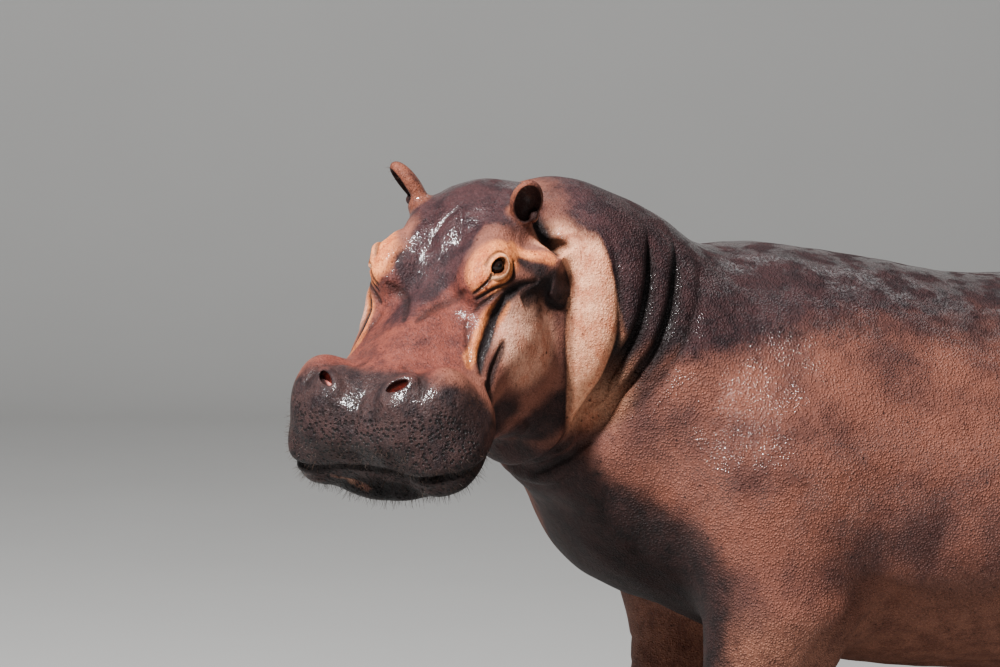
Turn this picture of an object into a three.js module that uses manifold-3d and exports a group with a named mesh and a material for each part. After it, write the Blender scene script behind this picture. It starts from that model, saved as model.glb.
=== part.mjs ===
// An adult hippopotamus standing on its four feet, with its head raised and turned to its left.
// Millimetres, +Z up. It faces -X, its left side is towards -Y, and its soles stand on z = 0.
// Its skin is one smooth field of distances. Each part wraps its own stretch of that field in
// facets and is trimmed at its seams, and ears, eyes, nostrils and nails are set into it.
import * as THREE from "three";
import { mergeVertices } from "three/addons/utils/BufferGeometryUtils.js";
import Module from "manifold-3d";

const wasm = await Module();
wasm.setup();

// ---- driving dimensions ----
const withers = 1484; // height over the shoulders
const seam = 0.3; // gap between touching parts

const trunk = {
  // x, back height, belly height, half width, height of the widest level
  stations: [
    [-330, 1385, 700, 330, 1020],
    [-120, 1458, 560, 450, 950],
    [60, withers, 480, 520, 900],
    [245, 1463, 430, 560, 860],
    [434, 1428, 400, 590, 830],
    [620, 1388, 382, 615, 810],
    [850, 1378, 372, 635, 800],
    [1100, 1402, 385, 620, 815],
    [1350, 1420, 440, 570, 860],
    [1500, 1406, 500, 520, 890],
  ],
  bulge: { chest: 150, rump: 360 }, // how far each end swells past its last station
};

// The neck is rounded masses that flow into each other. Blend is how softly.
const neck = [
  { name: "root", at: [-160, -5, 1052], size: [310, 410, 400], turn: 8, blend: 110 },
  { name: "middle", at: [-332, -50, 1227], size: [280, 350, 385], turn: 18, blend: 90 },
  { name: "nape", at: [-490, -120, 1350], size: [240, 300, 328], turn: 30, blend: 90 },
  { name: "throat", at: [-496, -132, 1058], size: [190, 215, 162], turn: 25, blend: 70 },
  { name: "brisket", at: [-215, -15, 880], size: [170, 290, 250], turn: 15, blend: 90 },
];

// Deep skin folds ring the neck where the turn of the head gathers it.
const folds = {
  turn: 20, // degrees, the way the rings face
  through: -150, // the y at which each ring has the x given here
  fade: { top: 20, bottom: 30 }, // how softly they end
  bottom: 850,
  gather: 260, // they flatten out over this width, towards the right side
  least: 0.12,
  rings: [
    { at: [-492, 1557], top: 1520, lean: 3.4, depth: 22, width: 22 },
    { at: [-341, 1560], top: 1522, lean: 23.5, depth: 36, width: 26 },
    { at: [-236, 1540], top: 1490, lean: 29.7, depth: 38, width: 27 },
    { at: [-158, 1500], top: 1450, lean: 36, depth: 16, width: 28 },
  ],
};
// Head and neck, and neck and torso, meet along two planes that lean like the rings.
const seams = {
  head: { at: [-455, 1557], lean: 20 },
  middle: { at: [-318, 1560], lean: 27 }, // half way, for the neck's own grid
  neck: { at: [-212, 1540], lean: 32 },
};

const head = {
  eyes: [-861, -325, withers + 26], // halfway between the eyes
  turn: 39, // degrees to its left
  pitch: 38, // the line from eyes to nostrils, below level
  roll: 2, // left side lower
  blend: 70,
  softness: 4, // keeps the middle line of the face from creasing
};

// The head's own axes run forward, left and up from between the eyes. Both sides are alike.
const skull = [
  { name: "cranium", at: [-150, 0, -105], size: [200, 178, 140] },
  { name: "bridge", from: [-20, 0, -140], to: [340, 0, -145], radii: [108, 122], blend: 60 },
  { name: "snout side", from: [320, 105, -180], to: [40, 115, -180], radii: [93, 106], blend: 60 },
  { name: "muzzle", at: [440, 0, -143], half: [104, 199, 125], corner: 92, blend: 60 },
  { name: "upper lip", at: [410, 163, -192], size: [146, 96, 108], blend: 50 },
  { name: "tusk root", at: [384, 166, -88], size: [88, 64, 86], blend: 46 },
  { name: "nostril mound", at: [432, 94, -34], size: [72, 52, 44], blend: 30 },
  { name: "orbit", at: [-5, 122, -32], size: [94, 65, 67], blend: 55 },
  { name: "temple", from: [-60, 104, -8], to: [-140, 112, -16], radii: [34, 30], blend: 40 },
  { name: "cheekbone", from: [30, 150, -95], to: [-130, 196, -112], radii: [54, 50], blend: 36 },
  { name: "lobe", at: [-88, 204, -150], size: [35, 38, 58], blend: 20 },
  { name: "cheek", at: [25, 125, -265], size: [185, 98, 200], blend: 50 },
  { name: "lower jaw", from: [445, 55, -275], to: [-40, 100, -380], radii: [48, 100], blend: 45 },
  { name: "lower lip", at: [462, 0, -270], size: [80, 150, 36], blend: 30 },
  { name: "gullet", at: [-80, 0, -370], size: [230, 190, 180], blend: 100 },
  { name: "ear root", from: [-178, 118, -40], to: [-182, 148, -6], radii: [42, 24], blend: 35 },
];

// The mouth line runs from the chin back to the corner, then up as the fold before the cheek.
const mouth = {
  line: [
    [552, 0, -174],
    [550, 90, -182],
    [540, 158, -180],
    [520, 208, -188],
    [484, 240, -214],
    [420, 250, -244],
    [350, 238, -256],
    [300, 222, -244],
    [262, 204, -205],
    [246, 186, -140],
    [199, 178, -109],
    [151, 175, -98],
    [88, 180, -74],
    [25, 198, -60],
  ],
  groove: 11, // half width of the groove
  steps: 40,
};

const eye = {
  at: [4, 158, 2],
  faces: [0.42, 0.86, 0.3],
  along: [-1, 0.35, 0], // from the inner corner to the outer one
  radius: 22,
  lid: 7, // thickness
  opening: [28, 16, 21.5], // half sizes of the cut that parts the lids
  openingOut: 26,
};

const nostril = {
  at: [430, 96, -1],
  faces: [0.55, 0.1, 0.83],
  along: [-0.62, 0.75, 0.1],
  slit: [24, 17, 35], // half sizes: deep, wide, long
  rim: 9,
};

const ears = {
  left: { root: [-174, 148, -20], tip: [-194, 194, 96], faces: [0.8, 0.62, 0.1] },
  right: { root: [-200, -146, -24], tip: [-226, -206, 82], faces: [0.6, -0.55, 0.2] },
  half: [26, 41, 66], // depth, width, length
  cup: [30, 31, 52],
  cupForward: 17,
  seamUp: -38, // from the middle of the ear to its seam with the head
};

// Each chain runs from shoulder or hip to fetlock: x, distance from the middle, z, radius.
const legs = {
  front: {
    chain: [
      [10, 300, 930, 250],
      [50, 370, 620, 180],
      [15, 355, 320, 130],
      [-5, 350, 120, 122],
    ],
    stride: { left: -110, right: 60 },
    socket: { at: [20, 360], reach: [285, 240], top: 590, slant: 0.28 },
  },
  hind: {
    chain: [
      [1400, 260, 930, 320],
      [1335, 345, 650, 232],
      [1500, 345, 390, 138],
      [1480, 340, 130, 118],
    ],
    stride: { left: 70, right: -90 },
    socket: { at: [1390, 350], reach: [330, 245], top: 590, slant: 0.28 },
  },
  blend: { hip: 110, limb: 50 },
};
const foot = { ahead: 32, height: 58, size: [150, 138, 88], blend: 50 };
const toes = { spread: [-54, -19, 19, 54], reach: [112, 106], height: 46, size: [62, 42, 48], blend: 14 };
const nail = { size: [20, 26, 32], out: 46, height: 41, lean: 12, around: 8, down: 5 };

const tail = {
  // x, y, z, radius
  bones: [
    [1770, 0, 1205, 95],
    [1890, 0, 1135, 64],
    [1955, 0, 1010, 46],
    [1968, 0, 880, 38],
    [1950, 0, 765, 24],
  ],
  flat: 0.62, // its thickness as a share of its depth
  blend: 50,
  socket: { at: [1745, 1165], reach: [100, 135], rear: 1876 },
};

const hide = { body: 0x8a5c4c, head: 0x7c5148, ear: 0x9a6a50 };

// ---- the field: distance to the skin, negative inside ----
function join(a, b, k) {
  const h = Math.min(Math.max(0.5 + (0.5 * (b - a)) / k, 0), 1);
  return b + (a - b) * h - k * h * (1 - h);
}

function ball(p, at, size, turn = 0) {
  const [c, s] = [Math.cos(THREE.MathUtils.degToRad(turn)), Math.sin(THREE.MathUtils.degToRad(turn))];
  const [dx, dy, z] = [p[0] - at[0], p[1] - at[1], p[2] - at[2]];
  const [x, y] = [c * dx + s * dy, c * dy - s * dx];
  const near = Math.hypot(x / size[0], y / size[1], z / size[2]);
  const steep = Math.hypot(x / size[0] ** 2, y / size[1] ** 2, z / size[2] ** 2);
  return (near * (near - 1)) / Math.max(steep, 1e-6);
}

function bar(p, from, to, [first, last]) {
  const [ax, ay, az] = [to[0] - from[0], to[1] - from[1], to[2] - from[2]];
  const [x, y, z] = [p[0] - from[0], p[1] - from[1], p[2] - from[2]];
  const t = Math.min(Math.max((x * ax + y * ay + z * az) / (ax * ax + ay * ay + az * az), 0), 1);
  return Math.hypot(x - t * ax, y - t * ay, z - t * az) - (first + (last - first) * t);
}

function block(p, at, half, corner) {
  const q = [0, 1, 2].map((i) => Math.abs(p[i] - at[i]) - (half[i] - corner));
  const outside = Math.hypot(Math.max(q[0], 0), Math.max(q[1], 0), Math.max(q[2], 0));
  return outside + Math.min(Math.max(q[0], q[1], q[2]), 0) - corner;
}

function mass(p, form) {
  if (form.size) return ball(p, form.at, form.size, form.turn);
  if (form.half) return block(p, form.at, form.half, form.corner);
  return bar(p, form.from, form.to, form.radii);
}

function chainOf(p, bones, blend) {
  let d = Infinity;
  for (let i = 0; i + 1 < bones.length; i += 1) {
    const length = bar(p, bones[i], bones[i + 1], [bones[i][3], bones[i + 1][3]]);
    d = i === 0 ? length : join(d, length, blend);
  }
  return d;
}

// The trunk's back, belly, half width and widest level at x: smooth curves, level at both ends.
function trunkAt(x) {
  const s = trunk.stations;
  const last = s.length - 1;
  const held = Math.min(Math.max(x, s[0][0]), s[last][0]);
  let i = 0;
  while (i < last - 1 && held >= s[i + 1][0]) i += 1;
  const h = s[i + 1][0] - s[i][0];
  const t = (held - s[i][0]) / h;
  const slope = (j, c) => (j % last === 0 ? 0 : (s[j + 1][c] - s[j - 1][c]) / (s[j + 1][0] - s[j - 1][0]));
  return [1, 2, 3, 4].map(
    (c) =>
      (2 * t ** 3 - 3 * t ** 2 + 1) * s[i][c] +
      (t ** 3 - 2 * t ** 2 + t) * h * slope(i, c) +
      (3 * t ** 2 - 2 * t ** 3) * s[i + 1][c] +
      (t ** 3 - t ** 2) * h * slope(i + 1, c),
  );
}

function trunkField([x, y, z]) {
  const [back, belly, wide, middle] = trunkAt(x);
  const first = trunk.stations[0][0];
  const last = trunk.stations[trunk.stations.length - 1][0];
  const rise = z - middle;
  const tall = rise > 0 ? back - middle : middle - belly;
  const past = Math.max(first - x, x - last, 0);
  const over = past / (x < first ? trunk.bulge.chest : trunk.bulge.rump);
  const share = Math.max(Math.hypot(y / wide, rise / tall, over), 0.05);
  return Math.hypot(y, rise, past) * (1 - 1 / share);
}

const sides = { left: -1, right: 1 };

function footAt(pair, side) {
  const [x, y] = legs[pair].chain[legs[pair].chain.length - 1];
  return [x + legs[pair].stride[side] - foot.ahead, sides[side] * y, foot.height];
}

function toeAt(pair, side, spread, reach) {
  const [x, y] = footAt(pair, side);
  const angle = THREE.MathUtils.degToRad(spread);
  return [x - reach[0] * Math.cos(angle), y + reach[1] * Math.sin(angle)];
}

function legField(p, pair, side) {
  const { chain, stride } = legs[pair];
  const last = chain.length - 1;
  const bones = chain.map(([x, y, z, r], i) => [x + (stride[side] * i) / last, sides[side] * y, z, r]);
  let d = chainOf(p, bones, legs.blend.limb);
  d = join(d, ball(p, footAt(pair, side), foot.size), foot.blend);
  for (const spread of toes.spread) {
    const at = [...toeAt(pair, side, spread, toes.reach), toes.height];
    d = join(d, ball(p, at, toes.size, spread), toes.blend);
  }
  return d;
}

function tailField(p) {
  return tail.flat * chainOf([p[0], p[1] / tail.flat, p[2]], tail.bones, tail.blend / 2);
}

const headFrame = (() => {
  const [turn, pitch, roll] = [head.turn, head.pitch, head.roll].map(THREE.MathUtils.degToRad);
  const level = new THREE.Vector3(Math.sin(turn), -Math.cos(turn), 0);
  const forward = new THREE.Vector3(-Math.cos(turn), -Math.sin(turn), 0);
  forward.multiplyScalar(Math.cos(pitch)).setZ(-Math.sin(pitch));
  const upright = new THREE.Vector3().crossVectors(forward, level);
  const left = level.multiplyScalar(Math.cos(roll)).addScaledVector(upright, -Math.sin(roll));
  const up = new THREE.Vector3().crossVectors(forward, left);
  return new THREE.Matrix4().makeBasis(forward, left, up).setPosition(...head.eyes);
})();
const toHeadFrame = headFrame.clone().invert();

function headField(p) {
  const [x, y, z] = new THREE.Vector3(...p).applyMatrix4(toHeadFrame);
  const half = [x, Math.hypot(y, head.softness), z];
  const [first, ...rest] = skull;
  return rest.reduce((d, form) => join(d, mass(half, form), form.blend), mass(half, first));
}

// A ring's own axes run back across the fold, to the right, and up its leaning plane.
function ringFrame({ at, lean }) {
  const [turn, tilt] = [folds.turn, lean].map(THREE.MathUtils.degToRad);
  const right = new THREE.Vector3(-Math.sin(turn), Math.cos(turn), 0);
  const back = new THREE.Vector3(Math.cos(turn), Math.sin(turn), 0).multiplyScalar(Math.cos(tilt));
  back.setZ(-Math.sin(tilt));
  const frame = new THREE.Matrix4().makeBasis(back, right, new THREE.Vector3().crossVectors(back, right));
  return frame.setPosition(at[0], folds.through, at[1]);
}
for (const plane of [...folds.rings, ...Object.values(seams)]) plane.frame = ringFrame(plane);

// How far a point is behind a ring's plane.
function behind([x, y, z], { at, frame }) {
  const [bx, by, bz] = frame.elements;
  return bx * (x - at[0]) + by * (y - folds.through) + bz * (z - at[1]);
}

function foldDepth(p) {
  const { fade, bottom, gather, least } = folds;
  const gathered = Math.min(Math.max(0.5 - p[1] / gather, least), 1);
  const above = 1 / (1 + Math.exp((bottom - p[2]) / fade.bottom));
  let depth = 0;
  for (const ring of folds.rings) {
    const under = 1 / (1 + Math.exp((p[2] - ring.top) / fade.top));
    depth += ring.depth * Math.exp(-Math.hypot(behind(p, ring), 3) / ring.width) * under;
  }
  return depth * above * gathered;
}

function bodyField(p) {
  let d = trunkField(p);
  for (const pair of ["front", "hind"]) {
    for (const side of ["left", "right"]) d = join(d, legField(p, pair, side), legs.blend.hip);
  }
  for (const form of neck) d = join(d, mass(p, form), form.blend);
  d = join(d, headField(p), head.blend);
  d = join(d, tailField(p), tail.blend);
  return d + foldDepth(p);
}

// ---- from field to facets ----
const cellCorners = [0, 1, 2, 3, 4, 5, 6, 7].map((n) => [n & 1, (n >> 1) & 1, n >> 2]);
const cellEdges = [1, 2, 4].flatMap((bit) =>
  [0, 1, 2, 3, 4, 5, 6, 7].filter((a) => !(a & bit)).map((a) => [a, a | bit]));

// The grid lines along one axis, from runs of first place, last place and spacing.
function lines(...runs) {
  const even = runs.flatMap(([from, to, step]) => {
    const count = Math.round((to - from) / step);
    return Array.from({ length: count }, (_, n) => from + ((to - from) * n) / count);
  });
  return [...even, runs[runs.length - 1][1]];
}

// One vertex in each grid cell that the skin crosses, and one quad round each edge that it crosses.
function wrap(grid, frame = new THREE.Matrix4()) {
  const [nx, ny, nz] = grid.map((axis) => axis.length);
  const place = (...n) => new THREE.Vector3(...grid.map((axis, i) => axis[n[i]])).applyMatrix4(frame);
  const index = (i, j, k) => (i * ny + j) * nz + k;
  const onRim = (i, j, k) => i * j * k === 0 || i === nx - 1 || j === ny - 1 || k === nz - 1;
  const every = (short, visit) => {
    for (let i = 0; i < nx - short; i += 1) {
      for (let j = 0; j < ny - short; j += 1) {
        for (let k = 0; k < nz - short; k += 1) visit(i, j, k);
      }
    }
  };
  const values = new Float64Array(nx * ny * nz);
  every(0, (i, j, k) => {
    const d = bodyField(place(i, j, k).toArray());
    values[index(i, j, k)] = onRim(i, j, k) ? Math.max(d, 1) : d;
  });

  const vertexOf = new Int32Array(nx * ny * nz);
  const positions = [];
  every(1, (i, j, k) => {
    const corners = cellCorners.map(([a, b, c]) => [i + a, j + b, k + c]);
    const v = corners.map((n) => values[index(...n)]);
    const cut = cellEdges.filter(([a, b]) => v[a] < 0 !== v[b] < 0);
    if (!cut.length) return;
    const at = new THREE.Vector3();
    for (const [a, b] of cut) {
      const share = v[a] / (v[a] - v[b]);
      at.add(place(...corners[a]).lerp(place(...corners[b]), share));
    }
    const p = at.divideScalar(cut.length).toArray();
    vertexOf[index(i, j, k)] = positions.length / 3;
    const size = place(i, j, k).distanceTo(place(i + 1, j + 1, k + 1));
    positions.push(...(corners.some((n) => onRim(...n)) ? p : settle(p, size / 9)));
  });

  const faces = [];
  const steps = [[1, 0, 0], [0, 1, 0], [0, 0, 1]];
  every(1, (i, j, k) => {
    const inside = values[index(i, j, k)] < 0;
    for (const n of [0, 1, 2]) {
      const [step, u, w] = [steps[n], steps[(n + 1) % 3], steps[(n + 2) % 3]];
      if (inside === values[index(i + step[0], j + step[1], k + step[2])] < 0) continue;
      const [a, b, c, d] = [[0, 0], [1, 0], [1, 1], [0, 1]].map(([s, t]) => {
        const cell = [i, j, k].map((at, axis) => at - s * u[axis] - t * w[axis]);
        return vertexOf[index(...cell)];
      });
      faces.push(...(inside ? [a, b, c, a, c, d] : [c, b, a, d, c, a]));
    }
  });
  const geometry = new THREE.BufferGeometry();
  geometry.setAttribute("position", new THREE.Float32BufferAttribute(positions, 3));
  return solid(geometry.setIndex(faces));
}

// Slides a point down the field's slope until it lies on the skin, if that is near enough.
function settle(p, near, probe = 2) {
  let q = p;
  for (let round = 0; round < 3; round += 1) {
    const d = bodyField(q);
    const slope = [0, 1, 2].map((i) => {
      const beside = q.map((c, n) => (n === i ? c + probe : c));
      return (bodyField(beside) - d) / probe;
    });
    const steep = Math.max(slope[0] ** 2 + slope[1] ** 2 + slope[2] ** 2, 0.1);
    q = q.map((c, i) => c - (d * slope[i]) / steep);
  }
  return Math.hypot(q[0] - p[0], q[1] - p[1], q[2] - p[2]) < near ? q : p;
}

function solid(geometry) {
  for (const name of ["normal", "uv"]) geometry.deleteAttribute(name);
  const merged = mergeVertices(geometry, 1e-3);
  const vertProperties = new Float32Array(merged.attributes.position.array);
  const triVerts = new Uint32Array(merged.index.array);
  return new wasm.Manifold(new wasm.Mesh({ numProp: 3, vertProperties, triVerts }));
}

// Keeps the largest closed surface.
function largest(shape) {
  return shape.decompose().reduce((a, b) => (b.volume() > a.volume() ? b : a));
}

// ---- cutters ----
const reach = 6000; // wider than the animal

// All the space behind a ring's plane.
function behindRing({ frame }, gap) {
  const box = new THREE.BoxGeometry(reach, reach, reach).translate(reach / 2 + gap, 0, 0);
  return solid(box.applyMatrix4(frame));
}

// A leaning oval well round each leg, whose slanted top is the seam with the torso.
function legWell(pair, side, gap) {
  const { at, reach: [ahead, out], top, slant } = legs[pair].socket;
  const well = new THREE.CylinderGeometry(1, 1, reach, 24).rotateX(Math.PI / 2);
  well.scale(ahead + gap, out + gap, 1).translate(0, 0, top + gap - reach / 2);
  well.applyMatrix4(new THREE.Matrix4().makeShear(0, 0, 0, sides[side] * slant, 0, 0));
  return solid(well.translate(at[0] + legs[pair].stride[side] / 2, sides[side] * at[1], 0));
}

// The tail's own space: a round well about its root, and all that hangs behind the rump.
function tailWell(gap) {
  const { at: [x, z], reach: [out, up], rear } = tail.socket;
  const well = new THREE.CylinderGeometry(1, 1, reach, 16).rotateZ(Math.PI / 2);
  well.scale(1, out + gap, up + gap);
  const behind = new THREE.BoxGeometry(reach, reach, reach).translate(rear - gap + reach / 2, 0, 0);
  return solid(well.translate(x - gap + reach / 2, 0, z)).add(solid(behind));
}

// An oval ball set by the way it faces and the way it runs.
function oval([deep, wide, long], at, faces, along, around = 14, down = 8) {
  const length = new THREE.Vector3(...along).normalize();
  const across = new THREE.Vector3().crossVectors(length, new THREE.Vector3(...faces)).normalize();
  const outward = new THREE.Vector3().crossVectors(across, length);
  const frame = new THREE.Matrix4().makeBasis(outward, across, length).setPosition(...at);
  const sphere = new THREE.SphereGeometry(1, around, down).rotateX(Math.PI / 2);
  return sphere.scale(deep, wide, long).applyMatrix4(frame);
}

const onSide = ([x, y, z], side) => [x, -sides[side] * y, z];
const inHead = (geometry) => solid(geometry.applyMatrix4(headFrame));
const offset = (p, direction, distance) =>
  new THREE.Vector3(...p).addScaledVector(new THREE.Vector3(...direction).normalize(), distance).toArray();

// ---- the parts ----
const fleshed = (color) => new THREE.MeshStandardMaterial({ color, roughness: 0.55, metalness: 0 });
const horn = new THREE.MeshStandardMaterial({ color: 0x4a3f3a, roughness: 0.6, metalness: 0 });
const wetEye = new THREE.MeshStandardMaterial({ color: 0x1c1210, roughness: 0.1, metalness: 0 });

const animal = new THREE.Group();

function addPart(name, shape, material) {
  const { vertProperties, triVerts } = largest(shape).getMesh();
  const geometry = new THREE.BufferGeometry();
  geometry.setAttribute("position", new THREE.BufferAttribute(vertProperties, 3));
  geometry.setIndex(new THREE.BufferAttribute(triVerts, 1));
  const mesh = new THREE.Mesh(geometry, material);
  mesh.name = name;
  animal.add(mesh);
}

function makeEyes(skin) {
  for (const side of ["left", "right"]) {
    const [at, faces, along] = [eye.at, eye.faces, eye.along].map((v) => onSide(v, side));
    const round = (r) => inHead(oval([r, r, r], at, faces, along));
    skin = skin.add(round(eye.radius + eye.lid));
    skin = skin.subtract(inHead(oval(eye.opening, offset(at, faces, eye.openingOut), faces, along)));
    skin = skin.subtract(round(eye.radius + seam));
    addPart(`eye_${side}`, round(eye.radius), wetEye);
  }
  return skin;
}

function makeNostrils(skin) {
  const [deep, wide, long] = nostril.slit;
  const lip = nostril.rim;
  for (const side of ["left", "right"]) {
    const [at, faces, along] = [nostril.at, nostril.faces, nostril.along].map((v) => onSide(v, side));
    skin = skin.add(inHead(oval([lip * 2, wide + lip, long + lip], at, faces, along)));
    skin = skin.subtract(inHead(oval([deep, wide, long], at, faces, along)));
  }
  return skin;
}

// The mouth line is settled onto the skin and cut as a groove with four sides.
function makeMouth(skin) {
  const start = mouth.line.slice(1).reverse().map((v) => onSide(v, "right"));
  const line = [...start, ...mouth.line].map((v) => {
    const p = new THREE.Vector3(...v).applyMatrix4(headFrame).toArray();
    return new THREE.Vector3(...settle(p, 60));
  });
  const section = new THREE.Shape([[1, 0], [0, 1], [-1, 0], [0, -1]].map(([x, y]) =>
    new THREE.Vector2(x * mouth.groove, y * mouth.groove)));
  const groove = new THREE.ExtrudeGeometry(section, {
    steps: mouth.steps,
    extrudePath: new THREE.CatmullRomCurve3(line),
    bevelEnabled: false,
  });
  return skin.subtract(solid(groove));
}

function makeEars(skin) {
  for (const side of ["left", "right"]) {
    const { root, tip, faces } = ears[side];
    const middle = root.map((c, i) => (c + tip[i]) / 2);
    const along = tip.map((c, i) => c - root[i]);
    const cup = offset(middle, faces, ears.cupForward);
    const shell = inHead(oval(ears.half, middle, faces, along));
    skin = skin.add(shell).subtract(inHead(oval(ears.cup, cup, faces, along)));
    // a box whose floor is the seam at the ear's root
    const axis = new THREE.Vector3(...along).normalize();
    const seat = (gap) => {
      const size = ears.half.map((c) => 2 * c + 2 * (seam - gap));
      const box = new THREE.BoxGeometry(...size).translate(0, 0, size[2] / 2 + ears.seamUp + gap);
      const across = new THREE.Vector3().crossVectors(axis, new THREE.Vector3(...faces)).normalize();
      const out = new THREE.Vector3().crossVectors(across, axis);
      const frame = new THREE.Matrix4().makeBasis(out, across, axis);
      return inHead(box.applyMatrix4(frame.setPosition(...middle)));
    };
    addPart(`ear_${side}`, skin.intersect(seat(seam)), fleshed(hide.ear));
    skin = skin.subtract(seat(0));
  }
  return skin;
}

function makeHead() {
  const grid = [
    lines([-640, -240, 57], [-240, 60, 34], [60, 330, 45], [330, 590, 29]),
    lines([-440, -270, 57], [-270, -80, 32], [-80, 80, 40], [80, 270, 32], [270, 440, 57]),
    lines([-700, -356, 58], [-356, 134, 34]),
  ];
  const blank = wrap(grid, headFrame).subtract(behindRing(seams.head, -seam));
  const skin = makeEars(makeMouth(makeNostrils(makeEyes(largest(blank)))));
  addPart("head", skin, fleshed(hide.head));
}

function makeNeck() {
  const grid = [lines([-290, 290, 24]), lines([-560, 560, 56]), lines([-900, 220, 56])];
  const blank = wrap(grid, seams.middle.frame);
  const shape = blank.intersect(behindRing(seams.head, 0)).subtract(behindRing(seams.neck, -seam));
  addPart("neck", shape, fleshed(hide.body));
}

function makeTorso() {
  const grid = [
    lines([-820, -220, 75], [-220, 1300, 127], [1300, 2000, 100]),
    lines([-720, 720, 96]),
    lines([260, 1700, 96]),
  ];
  let shape = wrap(grid).intersect(behindRing(seams.neck, 0));
  for (const pair of ["front", "hind"]) {
    for (const side of ["left", "right"]) shape = shape.subtract(legWell(pair, side, seam));
  }
  addPart("torso", shape.subtract(tailWell(seam)), fleshed(hide.body));
}

function makeTail() {
  const grid = [lines([1640, 2060, 30]), lines([-190, 190, 27]), lines([680, 1400, 38])];
  addPart("tail", wrap(grid).intersect(tailWell(0)), fleshed(hide.body));
}

function makeLeg(pair, side) {
  const { chain, stride, socket } = legs[pair];
  const x = chain.map((bone) => bone[0]);
  const span = [
    Math.min(...x) - 460 + Math.min(stride[side], 0),
    Math.max(...x) + 360 + Math.max(stride[side], 0),
  ];
  const middle = sides[side] * socket.at[1];
  const grid = [
    lines([...span, 58]),
    lines([middle - 400, middle + 400, 59]),
    lines([-120, 180, 50], [180, 840, 82]),
  ];
  const blank = wrap(grid);
  const floor = solid(new THREE.BoxGeometry(reach, reach, reach).translate(0, 0, -reach / 2));
  let shape = largest(blank.intersect(legWell(pair, side, 0)).subtract(floor));
  toes.spread.forEach((spread, i) => {
    const angle = THREE.MathUtils.degToRad(spread);
    const at = [...toeAt(pair, side, spread, toes.reach.map((r) => r + nail.out)), nail.height];
    const lean = Math.sin(THREE.MathUtils.degToRad(nail.lean));
    const faces = [-Math.cos(angle), Math.sin(angle), lean];
    const up = [lean * Math.cos(angle), -lean * Math.sin(angle), 1];
    const horned = (gap) => {
      const size = nail.size.map((c) => c + gap);
      return solid(oval(size, at, faces, up, nail.around, nail.down));
    };
    addPart(`nail_${pair}_${side}_${i + 1}`, horned(0), horn);
    shape = shape.subtract(horned(seam));
  });
  addPart(`leg_${pair}_${side}`, shape, fleshed(hide.body));
}

makeHead();
makeNeck();
makeTorso();
makeTail();
for (const pair of ["front", "hind"]) {
  for (const side of ["left", "right"]) makeLeg(pair, side);
}

// the middle of its box goes to x = y = 0
const middle = new THREE.Box3().setFromObject(animal).getCenter(new THREE.Vector3());
animal.position.set(-middle.x, -middle.y, 0);

export default animal;
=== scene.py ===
# A wet adult hippopotamus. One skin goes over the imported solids, with eyes, nails and bristles.
# The shape is worked out in millimetres, in the frame that the solids were drawn in.
import math
import time
from functools import reduce

import bmesh
import bpy
import numpy as np
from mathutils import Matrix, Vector


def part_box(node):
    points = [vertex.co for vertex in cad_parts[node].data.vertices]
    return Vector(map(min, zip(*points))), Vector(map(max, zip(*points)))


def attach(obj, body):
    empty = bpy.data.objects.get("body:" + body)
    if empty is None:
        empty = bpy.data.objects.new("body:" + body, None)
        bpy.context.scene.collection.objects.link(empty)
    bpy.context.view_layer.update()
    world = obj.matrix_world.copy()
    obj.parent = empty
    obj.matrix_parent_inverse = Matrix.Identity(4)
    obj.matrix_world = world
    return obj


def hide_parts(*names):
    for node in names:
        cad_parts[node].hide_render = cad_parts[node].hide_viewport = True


started = time.time()
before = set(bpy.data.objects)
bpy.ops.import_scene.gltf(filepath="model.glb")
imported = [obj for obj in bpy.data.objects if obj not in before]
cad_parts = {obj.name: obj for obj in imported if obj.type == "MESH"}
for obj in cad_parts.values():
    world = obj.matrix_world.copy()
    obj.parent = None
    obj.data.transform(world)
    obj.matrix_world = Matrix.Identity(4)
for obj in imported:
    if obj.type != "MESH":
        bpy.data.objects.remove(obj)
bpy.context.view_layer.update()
millimetre = 0.001


def report(stage):
    print(f"{time.time() - started:6.1f} s  {stage}", flush=True)


# the animal faces -X, its left side is towards -Y, and it stands on z = 0
trunk = {
    # x, back height, belly height, half width, height of the widest level
    "stations": [
        (-330, 1385, 700, 330, 1020),
        (-120, 1458, 560, 450, 950),
        (60, 1484, 480, 520, 900),
        (245, 1463, 430, 560, 860),
        (434, 1428, 400, 590, 830),
        (620, 1388, 382, 615, 810),
        (850, 1378, 372, 635, 800),
        (1100, 1402, 385, 620, 815),
        (1350, 1420, 440, 570, 860),
        (1500, 1406, 500, 520, 890),
    ],
    "chest": 150,  # how far each end swells past its last station
    "rump": 360,
}

neck = [
    {"at": (-160, -5, 1052), "size": (310, 410, 400), "turn": 8, "blend": 110},
    {"at": (-332, -50, 1227), "size": (280, 350, 385), "turn": 18, "blend": 90},
    {"at": (-490, -120, 1350), "size": (240, 300, 328), "turn": 30, "blend": 90},
    {"at": (-496, -132, 1058), "size": (190, 215, 162), "turn": 25, "blend": 70},
    {"at": (-215, -15, 880), "size": (170, 290, 250), "turn": 15, "blend": 90},
]

folds = {
    "turn": 20,  # degrees, the way the rings face
    "through": -150,  # the y at which each ring has the x given here
    "gather": 260,  # they flatten out over this width, towards the right side
    "least": 0.12,
    "topFade": 20,
    "bottomFade": (850, 30),
    "rings": [
        {"at": (-492, 1557), "top": 1520, "lean": 3.4, "depth": 22, "width": 22},
        {"at": (-341, 1560), "top": 1522, "lean": 23.5, "depth": 36, "width": 26},
        {"at": (-236, 1540), "top": 1490, "lean": 29.7, "depth": 38, "width": 27},
        {"at": (-158, 1500), "top": 1450, "lean": 36, "depth": 16, "width": 28},
    ],
}

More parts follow.
